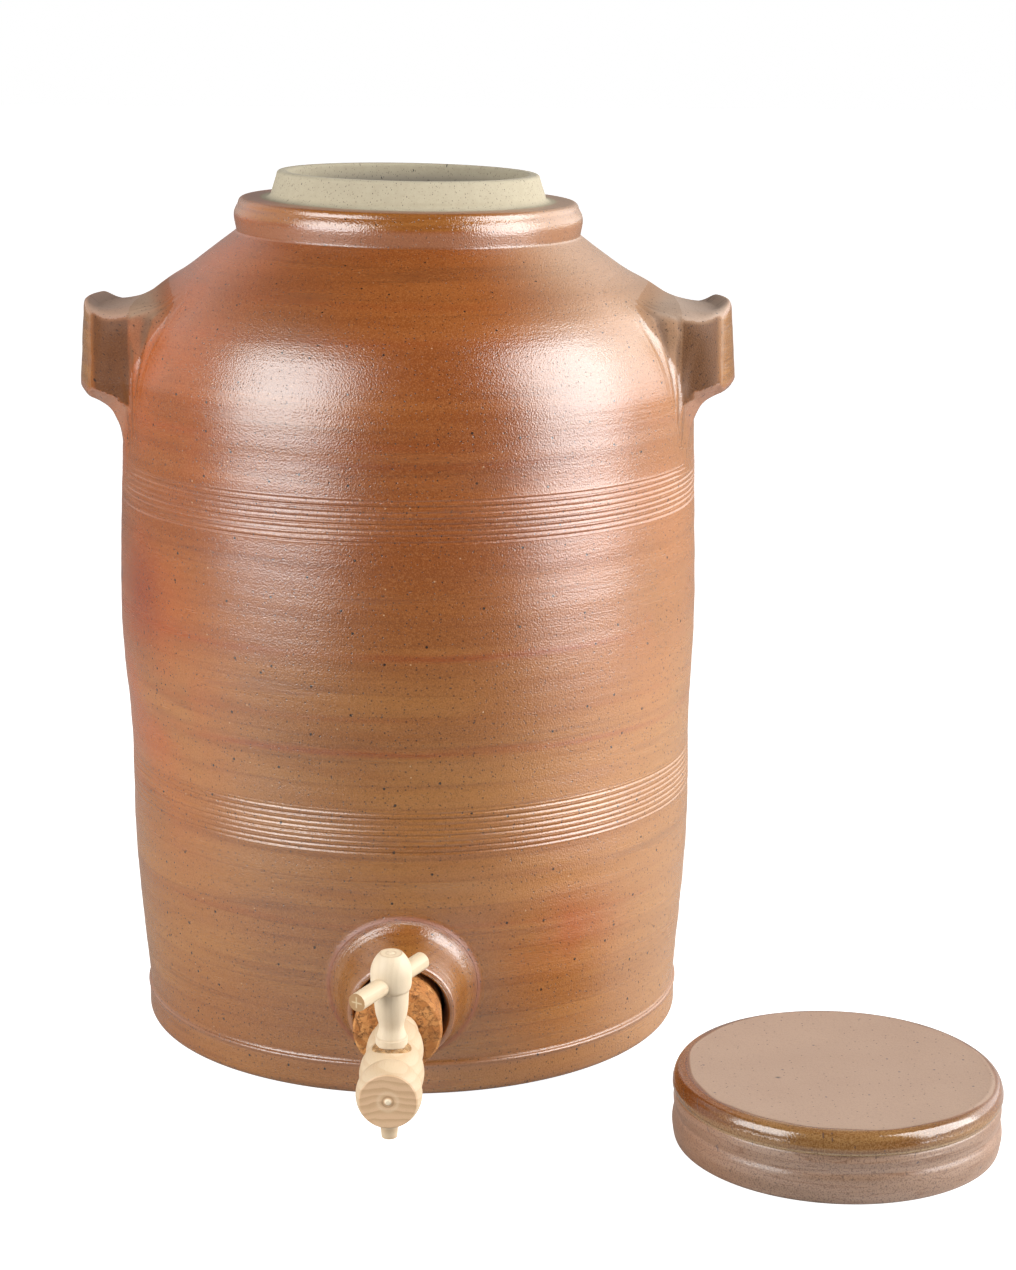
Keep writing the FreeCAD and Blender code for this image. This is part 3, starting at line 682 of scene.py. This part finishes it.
def dowel_wood():
    def along_bar(s):
        return s.place(1.0, (0, 0, BAR_HEIGHT), (0, 0, BAR_ANGLE), tap_place(s, KEY_STATION))
    s, p, base, _, strand, spot = wood(
        "dowel_wood", "CDBB9E", "BC9F7E", "9E8362", along_bar, 3.3, 0, 2)
    x, y, z = s.split(p)
    shift, half = BAR_ENDS
    end = s.step(s.math("ABSOLUTE", s.add(x, shift)), half, half + 0.18)
    split = s.math("MAXIMUM",
                   s.times(s.bell(y, 0.2, 0.32), s.step(s.math("ABSOLUTE", z), 2.9, 2.2)),
                   s.times(s.bell(z, -0.1, 0.32), s.step(s.math("ABSOLUTE", y), 2.9, 2.2)))
    base = s.mix(end, base, s.mix(s.times(split, 0.8), s.mix(spot, "B48E62", "96724A"), "D6C29C"))
    shape = s.relief(strand, 0.05)
    return s.finish(base_color=base, roughness=s.blend(strand, 0.45, 0.62), normal=shape)


def cork(name, station, scale, tones):
    """Agglomerated cork: pressed granules of three tones with part-dark seams and small cracks."""
    s = Shade(name, ior=1.4)
    p = tap_place(s, station)
    bend = s.node("VectorMath", s.node("TexNoise", p, None, 0.6, 4.0, 0.7, out=1), (4.5, 4.5, 4.5),
                  operation="MULTIPLY")
    loose = s.node("VectorMath", p, bend, operation="ADD")
    tone = s.split(s.cells(loose, 1 / scale, out="Color"))
    seam = s.cells(loose, 1 / scale, feature="DISTANCE_TO_EDGE")
    grain = s.noise(p, 1.5, 4.0, 0.65)
    marble = s.noise(loose, 1.4 / scale, 5.0, 0.65)
    thread = s.noise(s.node("VectorMath", loose, (1.0, 1.0, 1.7), operation="MULTIPLY"), 1.9 / scale, 3.0, 0.6)
    base = s.mix(s.step(s.add(s.times(marble, 0.7), s.times(tone[0], 0.3)), 0.38, 0.62), tones[0], tones[1])
    base = s.mix(s.times(s.step(tone[1], 0.5, 1.0), 0.45), base, tones[2])
    base = s.mix(s.times(s.step(grain, 0.45, 0.75), 0.5), base, tones[1])
    base = s.mix(s.times(s.step(seam, 0.12, 0.0), s.times(s.step(marble, 0.42, 0.56), 0.6)), base, tones[3])
    crack = s.times(s.bell(thread, 0.5, 0.012), s.step(s.noise(p, 0.32, 2.0, 0.5), 0.50, 0.58))
    crack = s.math("MAXIMUM", crack, s.times(s.step(grain, 0.63, 0.70), 0.8))
    base = s.mix(s.times(crack, 0.9), base, "371D0E")
    shape = s.relief(s.step(seam, 0.0, 0.12), 0.12)
    shape = s.relief(s.less(grain, crack), 0.35, shape)
    return s.finish(base_color=base, roughness=0.72, normal=shape)


# ================================================================ jar

def jar_outline():
    """(radius, height) from the base's centre up the outside, over the rim and down the inside."""
    def leg(*ends, step):
        length = sum(math.dist(a, b) for a, b in zip(ends, ends[1:]))
        return spline(ends, max(3, int(length / step) + 1))

    def bow(centre, radius, start, end, step):
        turn = np.radians(np.linspace(start, end, max(4, int(radius * math.radians(abs(end - start)) / step))))
        return np.stack([centre[0] + radius * np.cos(turn), centre[1] + radius * np.sin(turn)], -1)

    heights = [BODY[0][1]]
    while heights[-1] < SHOULDER_CENTRE[1]:
        in_band = any(abs(heights[-1] - band) < COMB_REACH for band in COMB_BANDS)
        heights.append(heights[-1] + (0.27 if in_band else 1.9))
    heights[-1] = SHOULDER_CENTRE[1]
    body = np.stack([wall_radius(np.array(heights)), heights], -1)
    arc = bow(SHOULDER_CENTRE, SHOULDER_ROUND, 0, 53, 1.6)
    foot = [leg((0.5, 0), (60, 0), step=12), leg((60, 0), (129.7, 0), step=6), bow((129.7, 4.0), 4.0, -90, 0, 0.5),
            leg((133.7, 4.5), (133.7, 13.6), step=1.2),
            leg((133.75, 13.9), (134.25, 15.1), (133.9, 15.9), (133.0, 16.4), step=0.25)]
    slope = leg(tuple(arc[-1]), (83.9, 389.6), step=1.6)
    collar = [leg((82.9, 390.5), (83.0, 391.6), (83.9, 396.6), (83.6, 400.0), (81.9, 403.42), step=0.4),
              bow((79.1, 403.42), 2.8, 0, 90, 0.4),
              leg((79.1, SEAT), (69.5, SEAT), step=0.8),
              bow((68.8, SEAT + 3), 3.0, 270, 180, 0.4),
              leg((65.8, SEAT + 3), (63.3, RIM - 2), step=0.6),
              bow((61.3, RIM - 2), 2.0, 0, 90, 0.35),
              leg((61.3, RIM), (59.2, RIM), step=0.5),
              bow((59.2, RIM - 1.7), 1.7, 90, 180, 0.35),
              leg((MOUTH, RIM - 1.7), (MOUTH, 397.2), step=1.2)]
    inner_arc = bow(SHOULDER_CENTRE, SHOULDER_ROUND - WALL, 53, 0, 5)
    down = np.linspace(306, 26, 60)
    inside = [leg((MOUTH, 397.2), tuple(inner_arc[0]), step=4), inner_arc,
              np.stack([wall_radius(down) - WALL, down], -1),
              bow((110.7, 24.0), 14.0, 0, -90, 2.5), leg((110.7, 10), (0.5, 10), step=12)]
    rows = np.concatenate([*foot, body, arc, slope, *collar, *inside])
    apart = np.r_[True, np.hypot(*np.diff(rows, axis=0).T) > 0.05]
    return rows[apart]


def jar_masks(radius, z, outside):
    """Where the jar's clay is raw, glossy, pink, ochre, dark or pale, before it is bent askew; dark is painted
    shade, in the crease under the collar and down the inside.
    """
    top = outside & (z > SEAT - 0.4)
    edge = ripple(5, np.stack([radius, z], -1), 3, 0.1, 0.3) * 0.4
    raw = np.where(outside, smooth(-radius, -72.5 + edge, -69.8) * top, 1.0)
    ring = top * (1 - raw) * smooth(-radius, -81.2, -79.4)
    collar = outside * smooth(z, 390.4, 391.4) * (radius > 70)
    foot = outside * (z < BODY[0][1]) * smooth(z, 11, 15)
    return {"raw": raw, "pale": 0.35 * ring,
            "gloss": collar * (1 - ring) * (1 - raw) * (0.55 + 0.45 * smooth(z, 396, 398)),
            "pink": 0.55 * collar * (1 - smooth(z, 396.6, 399.0)) + 0.35 * foot,
            "ochre": 0.5 * collar * smooth(z, 397.6, 399.4) * (1 - ring),
            # Painted shade: a dark line in the crease under the collar, and the inside darker down from the rim.
            "dark": np.where(outside, 0.3 * bell(z, 391.0, 1.1) * (radius < 90), smooth(-z, -417, -409))}


def make_jar(material):
    columns = 640
    rows = jar_outline()
    outer = np.zeros(len(rows), bool)
    outer[:np.argmax(rows[:, 1]) + 6] = True  # up to the rim's inner corner
    p = turned_points(rows, columns)
    outside = np.repeat(outer, columns)
    angle = np.arctan2(p[:, 1], p[:, 0])
    radius = np.hypot(p[:, 0], p[:, 1])
    push = np.where(outside, comb(angle, p[:, 2]), 0)
    masks = jar_masks(radius, p[:, 2], outside)
    out = np.stack([np.cos(angle), np.sin(angle), np.zeros(len(p))], -1)
    p = throw(p + out * push[:, None])
    shape = mesh_object("jar_body", p, grid_faces(len(rows), columns)[:, ::-1], material, "jar", masks)
    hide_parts("jar")


# ================================================================ lugs

LEDGE_CURVE, UNDER_CURVE = spline(LEDGE, 200), spline(UNDER, 200)


def height_and_slope(curve, radius):
    height = np.interp(radius, curve[:, 0], curve[:, 1])
    slope = np.interp(radius, curve[:, 0], np.gradient(curve[:, 1], curve[:, 0]))
    return height, np.sqrt(1 + slope ** 2)


def lug_plan(x, y, z, inset):
    """Distance outside the lug's front, back and crown, seen from above."""
    ax, ay = LUG_CORNER[0] - LUG_ROOT[0], LUG_ROOT[1] - LUG_CORNER[1]
    length = math.hypot(ax, ay)
    across = ((x - LUG_ROOT[0]) * ay + (np.sqrt(y * y + 0.01) - LUG_ROOT[1]) * ax) / length + inset
    across = across - LUG_SIDE_LEAN * (z - LUG_MIDDLE)
    across = soft_max(across, np.abs(y) - LUG_HALF_LENGTH + inset, 12.0)
    crown = np.hypot(x - LUG_CROWN_X, y) - (LUG_CROWN - inset - LUG_LEAN * (z - LUG_SIDE_FOOT))
    return across, crown


def strokes(y, z):
    """Finger marks that run down beside the lug's root."""
    depth = 0.0
    for number, (place, deep) in enumerate(STROKES):
        line = place + 0.9 * np.sin(z / 23.0 + number) + 0.03 * (z - 320) - 0.35 * np.maximum(z - 352, 0)
        depth = depth + deep * (bell(np.abs(y), line, 1.1) - 0.4 * bell(np.abs(y), line + 2.1, 1.1))
    return depth * smooth(z, 286, 304) * (1 - smooth(z, 358, 368))


def lug_field(p, narrow, rise):
    """The right-hand lug luted to the wall; narrow trims it all round, rise lifts its underside."""
    x, y, z = p.T
    radius = np.hypot(x, y)
    side, crown = lug_plan(x, y, z, narrow)
    top, top_slope = height_and_slope(LEDGE_CURVE, radius)
    low, low_slope = height_and_slope(UNDER_CURVE, radius)
    lip = 5.2 * smooth(crown, -8, 0.5) * (1 - smooth(y, 25, 41)) * (1 - smooth(-y, 10, 40))
    lip = lip - 2.0 * smooth(y, 28, 48) * smooth(x, 118, 134)
    above = (z - top - lip - 0.4 * np.cos(y / 17.0) - 3.0 * smooth(-y, 0, 46) * smooth(x, 108, 130)) / top_slope
    below = (low + narrow + rise - z) / low_slope
    solid = soft_max(soft_max(side, crown, 7.0), above, 6.5 + 9.5 * smooth(side - crown, -8, 2))
    solid = soft_max(solid, 0.7 * (108.0 - x), 14.0)
    solid = cut_edge(solid, below, 1.6 + 3.2 * smooth(side - crown, -5, 0))
    inner_side, inner_crown = lug_plan(x, y, z, LUG_WALL)
    pocket = soft_max(soft_max(inner_side, inner_crown, 10.0), z - POCKET_TOP, 8.0)
    solid = soft_max(solid, -pocket, 3.0)
    wall = wall_distance(radius, z)
    away = np.abs(solid - wall)
    sunk = 0.015 + 0.5 * smooth(solid - wall, 11.0, 17.0)
    joined = soft_min(solid, wall + sunk, 10.0 + 6.0 * smooth(z, 340, 360))
    return joined + strokes(y, z) * (1 - smooth(away, 9, 16)) * smooth(x, 95, 108)


def lug_masks(points, normals, wall, rise):
    """The colours of the right-hand lug, and its root, where it runs out on the wall, with painted shade at the
    root and in the finger marks.
    """
    x, y, z = points.T
    out, up = normals[:, 0], normals[:, 2]
    ledge = smooth(up, 0.25, 0.85) * smooth(z, 346, 350)
    crown = smooth(x, 146, 152)
    outward = smooth(out, 0.55, 0.9) * crown
    rim = bell(x, 157.0, 3.5) * smooth(z, 351, 355)
    floor = smooth(z - 0.6 * rise - 311.2 - 0.38 * (x - 128.5), -1.2, 1.2)
    face = smooth(x, 127.8, 130.4) * smooth(wall, 0.5, 2.5) * floor
    under = smooth(-up, 0.2, 0.6) * smooth(wall, 0.3, 2.0) * smooth(x, 130, 134)
    corner = bell(out, 0.60, 0.16) * crown * (1 - under)
    root = smooth(wall, 0.4, 3.0) * smooth(z, 326, 338) * (1 - face)
    under = np.maximum(under, 0.8 * (1 - floor) * smooth(wall, 0.5, 3.0) * smooth(x, 118, 126))
    # Painted shade in the finger marks' grooves.
    groove = np.clip(2.2 * strokes(y, z), 0, 0.45) * smooth(x, 108, 118) * (1 - smooth(x, 132, 137))
    smear = 0.5 * bell(np.abs(y), 75.0, 3.5) * smooth(z, 284, 300) * (1 - smooth(z, 352, 366))
    dark = face * (1 - ledge) * (1 - under) * (1 - outward) * (1 - corner)
    # Pale ledge: partly the ledge's paler glaze and partly painted sheen from the light above.
    pale = 0.8 * ledge * smooth(wall, 1.0, 6.0) * smooth(x, 104, 124) * (1 - 0.6 * rim)
    pink = 0.9 * under + 0.5 * rim * (1 - under) + 0.4 * corner + smear
    # Painted shade: the dark mask also takes half the upper root, in the corner under the ledge.
    return {"dark": np.maximum(dark, 0.5 * root + groove),
            "pale": np.clip(pale + 0.15 * root, 0, 1),
            "ochre": 0.9 * outward * (1 - under),
            "matt": smooth(z, 318, 332) * smooth(wall, 0.4, 3.0) * (1 - outward),
            "pink": np.clip(pink, 0, 1) * (1 + 0.1 * ripple(8, points / 3.0, 5, 0.3, 1.0)),
            "gloss": 0.8 * outward}, root


def make_lug(name, side, narrow, rise, material, dull):
    """A lug as a mesh net of its field; side is 1 for the right one and -1 for the left."""
    def field(p):
        return lug_field(p, narrow, rise)

    low, high = np.array([84.0, -84.0, 280.0]), np.array([163.0, 84.0, 386.0])
    axes = [np.arange(a, b, LUG_MESH) for a, b in zip(low, high)]
    spots = np.stack(np.meshgrid(*axes, indexing="ij"), -1).reshape(-1, 3)
    value = np.concatenate([field(part) for part in np.array_split(spots, 12)])
    points, faces = surface_net(value.reshape([len(a) for a in axes]), low, LUG_MESH)
    points = settle(field, points)
    normals = gradient(field, points)
    normals /= np.linalg.norm(normals, axis=1)[:, None]
    wall = wall_distance(np.hypot(points[:, 0], points[:, 1]), points[:, 2])
    masks, root = lug_masks(points, normals, wall, rise)
    masks["root"] = root
    points, faces, masks = without_loose(points, faces, masks, wall > -0.45)
    root = masks.pop("root")
    points[:, 0] *= side
    if side < 0:
        faces = faces[:, ::-1]
    matt = np.maximum(masks["dark"], root)[faces].mean(1) > 0.5
    shape = mesh_object(name + "_body", throw(points), faces, material, "jar", masks)
    shape.data.materials.append(dull)
    shape.data.polygons.foreach_set("material_index", matt.astype(np.int32))
    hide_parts(name)


# ================================================================ tap boss

def tap_frame():
    return Matrix.Translation(Vector(TAP_FOOT)) @ Matrix.Rotation(math.radians(TAP_DROOP), 4, "X")


def polygon_distance(outline, a, b):
    """Signed distance of points (a, b) from a closed outline, negative inside."""
    best, inside = np.full(a.shape, 1e9), np.zeros(a.shape, bool)
    for (x0, y0), (x1, y1) in zip(outline, np.roll(outline, -1, axis=0)):
        dx, dy = x1 - x0, y1 - y0
        t = np.clip(((a - x0) * dx + (b - y0) * dy) / max(dx * dx + dy * dy, 1e-12), 0, 1)
        best = np.minimum(best, np.hypot(a - x0 - t * dx, b - y0 - t * dy))
        if y0 != y1:
            inside ^= ((y0 > b) != (y1 > b)) & (a < (x1 - x0) * (b - y0) / (y1 - y0) + x0)
    return np.where(inside, -best, best)


def boss_masks(away, along):
    """The boss's colours by the distance from the tap's axis and the distance along it."""
    mouth = smooth(-away, *BOSS_THROAT)
    dome = (1 - smooth(away, 33.5, 35.5)) * (1 - mouth)
    # Painted shade: the mouth's inside darker further in.
    return {"dark": np.clip(mouth * smooth(-along, -25.6, -23.5), 0, 1) * 0.4,
            "ring": away * dome, "gloss": 0.85 * dome,
            "pale": mouth * smooth(-along, -26.3, -24.0) * 0.45,
            "ochre": 0.25 * dome * bell(away, 27, 6),
            "pink": 0.5 * bell(away, BOSS_MOUTH - 0.1, 1.0) * (1 - mouth),
            "rust": bell(away, BOSS_TOE, 1.2)}


def make_boss(material):
    """The domed ring, as a polar grid about the tap's axis that settles on to the luted joint."""
    lip_centre, lip_round = BOSS_LIP
    dome = spline(BOSS_DOME, 110)
    lip = np.array([(BOSS_MOUTH + lip_round * math.sin(t), lip_centre + lip_round * math.cos(t))
                    for t in np.linspace(0, math.pi / 2, 9)])
    flare = spline(BOSS_FLARE, 24)
    solid = np.concatenate([dome, lip[1:], [(26.5, 0.0), (-30.0, 0.0), (-30.0, 36.8)]])
    place = np.array(tap_frame())
    turn, origin = place[:3, :3], place[:3, 3]

    def level(p):
        return (p - origin) @ turn

    def field(p):
        q = level(p)
        along, away = -q[:, 1], np.hypot(q[:, 0], q[:, 2])
        sag = q[:, 0] ** 2 / WALL_BEND * (1 - smooth(along, -5, 20))
        ring = polygon_distance(solid, along + sag, away)
        wall = wall_distance(np.hypot(p[:, 0], p[:, 1]), p[:, 2])
        return soft_min(ring, wall + 0.015 + 0.5 * smooth(ring, 8.0, 12.0), 3.0)

    apron = spline([(0.9, BOSS_TOE), (0.8, 36.5), (0.8, 41.0), (0.8, 47.0)], 30)
    skin = dome[::-1]
    outline = np.concatenate([flare[::-1], lip[::-1], skin[skin[:, 0] > 1.3][1:], apron])
    columns = 420
    angle = np.arange(columns) * math.tau / columns
    along, away = outline[:, :1], outline[:, 1:]
    polar = np.stack([away * np.cos(angle), np.broadcast_to(-along, (len(outline), columns)),
                      away * np.sin(angle)], -1)
    spread = smooth(away, 31, 36)[..., None] * np.array([0, 1, 0])
    polar = (polar + spread * (polar[..., 0] ** 2 / WALL_BEND)[..., None]).reshape(-1, 3)
    points = polar @ turn.T + origin
    kept = (len(flare) + len(lip)) * columns
    points = np.concatenate([points[:kept], settle(field, points[kept:], 6)])
    q = level(points)
    away, along = np.hypot(q[:, 0], q[:, 2]), -q[:, 1]
    turning = 0.10 * np.sin(away * 2.1 + 0.6 * np.arctan2(q[:, 2], q[:, 0])) + 0.05 * np.sin(away * 5.3)
    turning = turning * smooth(along, 3, 8) * (1 - smooth(-away, *BOSS_THROAT))
    points = points + (turn @ [0, -1, 0]) * turning[:, None]
    shape = mesh_object("tap_boss_body", throw(points), grid_faces(len(outline), columns), material, "jar",
                        boss_masks(away, along))
    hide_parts("tap_boss")


# ================================================================ lid

def make_lid(material):
    top = spline([(0.4, 31.5), (20, 31.6), (45, 32.0), (64, 32.7), (68.5, 33.0)], 60)
    roll = spline([(69.2, 32.95), (71.6, 32.2), (73.1, 30.3), (73.8, 28.0), (74.2, 26.0), (73.7, 24.0),
                   (73.0, 23.3)], 46)
    skirt = spline([(72.9, 23.1), (72.7, 22.8), (72.8, 22.4), (73.1, 22.0), (73.5, 19.0), (73.1, 15.6),
                    (72.9, 14.3), (73.6, 11.5), (74.0, 7.5), (73.6, 4.0), (72.9, 1.2), (72.1, 0.25),
                    (71.4, 0.0)], 90)
    inside = spline([(70.6, 0.0), (69.2, 1.4), (67.1, 3.7), (67.1, 21.5), (63.1, 25.5), (40.0, 25.5),
                     (0.4, 25.5)], 60)
    outline = np.concatenate([top, roll, skirt, inside])
    columns = 512
    p = turned_points(outline, columns)
    outer = np.repeat(np.arange(len(outline)) < len(outline) - len(inside), columns)
    angle = np.arctan2(p[:, 1], p[:, 0])
    radius = np.hypot(p[:, 0], p[:, 1])
    z = p[:, 2]
    sway = ripple(12, np.stack([np.cos(angle) * 2, np.sin(angle) * 2], -1), 4, 0.5, 1.5)
    side = outer & (radius > 70)
    push = np.where(side, 0.06 * np.sin(z * 0.75 + 1.6 * sway) * smooth(-z, -22, -19) + 0.12 * sway, 0)
    wobble = np.where(outer, (0.18 * sway + 1.2 * smooth(np.sin(angle), 0, 1)) * smooth(radius, 30, 70) - 0.2, 0)
    shore = 66.6 + 1.5 * sway + 3.4 * (1 - smooth(np.cos(angle - math.radians(200)), -0.2, 0.9)) \
        + 0.5 * ripple(13, np.stack([np.cos(angle) * 9, np.sin(angle) * 9], -1), 4, 0.5, 1.5)
    matt = smooth(z, 30.5, 31.2) * smooth(shore - radius, -1.2, 0.8)
    masks = {"edge": np.where(outer, matt, 0), "raw": np.where(outer, 0, 1.0)}
    radius = np.minimum(radius + push, LID_REACH)
    points = np.stack([radius * np.cos(angle) + LID_CENTRE[0], radius * np.sin(angle) + LID_CENTRE[1],
                       np.where(z > 20, z + wobble, z)], -1)
    shape = mesh_object("lid_body", points, grid_faces(len(outline), columns), material, "lid", masks)
    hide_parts("lid")


# ================================================================ stage

def make_floor():
    """A plain white floor that throws little light back from in front of the jar, and is plain white there."""
    s = Shade("studio_floor", roughness=0.9)
    seen = s.node("LightPath", out=0)
    x, y, z = s.split(s.place())
    front = s.times(s.step(y, -0.22, -0.5), s.step(s.math("ABSOLUTE", s.less(x, 0.05)), 0.70, 0.48))
    s.give(s.shader.inputs["Base Color"], s.mix(front, (0.5, 0.5, 0.5, 1), (0.1, 0.1, 0.1, 1)))
    s.give(s.shader.inputs["Emission Color"], (1, 1, 1, 1))
    s.give(s.shader.inputs["Emission Strength"], s.times(seen, s.blend(front, 0.88, 1.0)))
    mesh = bpy.data.meshes.new("floor")
    mesh.from_pydata([(-9, -9, 0), (9, -9, 0), (9, 9, 0), (-9, 9, 0)], [], [(0, 1, 2, 3)])
    mesh.materials.append(s.material)
    floor = bpy.data.objects.new("floor", mesh)
    bpy.context.scene.collection.objects.link(floor)


def make_world():
    """White to the camera; for the jar a dim room with brighter walls to its sides, more so on the right."""
    world = bpy.data.worlds.new("studio")
    world.use_nodes = True
    bpy.context.scene.world = world
    s = Nodes(world.node_tree)
    seen = s.node("LightPath", out=0)
    x, y, z = s.split(s.node("TexCoord", out=0))
    beside = s.math("MULTIPLY_ADD", s.step(s.math("ABSOLUTE", x), 0.2, 0.8), 0.75, 0.25)
    level = s.times(s.times(beside, s.step(y, -0.25, 0.15)), s.step(z, 0.9, 0.45))
    level = s.math("MULTIPLY_ADD", level, s.math("MULTIPLY_ADD", x, 1.30, 1.82), 0.04)
    background = world.node_tree.nodes["Background"]
    s.give(background.inputs["Color"], (1, 1, 1, 1))
    s.give(background.inputs["Strength"], s.add(seen, s.times(level, s.less(1.0, seen))))


def softbox(name, azimuth, elevation, distance, width, height, radiance, target):
    """An area light seen from the jar at an azimuth right of the camera and an elevation."""
    a, e = math.radians(azimuth), math.radians(elevation)
    way = Vector((math.sin(a) * math.cos(e), -math.cos(a) * math.cos(e), math.sin(e)))
    data = bpy.data.lights.new(name, "AREA")
    data.shape, data.size, data.size_y = "RECTANGLE", width, height
    data.energy = radiance * math.pi * width * height
    lamp = bpy.data.objects.new(name, data)
    lamp.location = Vector(target) + way * distance
    lamp.rotation_mode = "QUATERNION"
    lamp.rotation_quaternion = way.to_track_quat("Z", "Y")
    bpy.context.scene.collection.objects.link(lamp)


def make_lights():
    softbox("left_box", -48.5, 17.5, 1.15, 0.92, 1.02, 6.4, (0, 0, 0.31))
    softbox("right_box", 69.0, 17, 1.15, 0.84, 1.20, 7.3, (0, 0, 0.32))


def make_camera():
    data = bpy.data.cameras.new("camera")
    data.lens, data.sensor_width, data.sensor_fit = 79.853, 36, "AUTO"
    data.clip_start, data.clip_end = 0.05, 50
    camera = bpy.data.objects.new("camera", data)
    camera.location = (0.045358, -1.367299, 0.5174345)
    camera.rotation_euler = (1.3360929, -0.0053492, -0.0013597)
    bpy.context.scene.collection.objects.link(camera)
    bpy.context.scene.camera = camera


def finish_nodes():
    """Gives the CAD pieces that keep their shape their finish."""
    finishes = {"cork_bung": cork("cork", CORK_FACE, 5.2, ("B4743C", "C98E52", "9C5F28", "6A3A18")),
                "key_liner": cork("liner_cork", KEY_STATION, 1.5, ("BE8A50", "DDB888", "8A5E36", "3A2210")),
                "tap_barrel": barrel_wood(), "tap_key": key_wood(), "key_crossbar": dowel_wood()}
    finishes["spout_nib"] = finishes["tap_barrel"]
    for node, material in finishes.items():
        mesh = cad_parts[node].data
        mesh.materials.clear()
        mesh.materials.append(material)


make_camera()
make_lights()
make_world()
make_floor()
bpy.context.scene.view_settings.view_transform = "Standard"
stoneware = glaze("salt_glaze", 1.9)
make_jar(stoneware)
dull_stoneware = glaze("dull_salt_glaze", 1.33)
make_lug("right_lug", 1, 0.8, 3.4, stoneware, dull_stoneware)
make_lug("left_lug", -1, 0.42, 0.0, stoneware, dull_stoneware)
make_boss(stoneware)
make_lid(lid_clay())
finish_nodes()
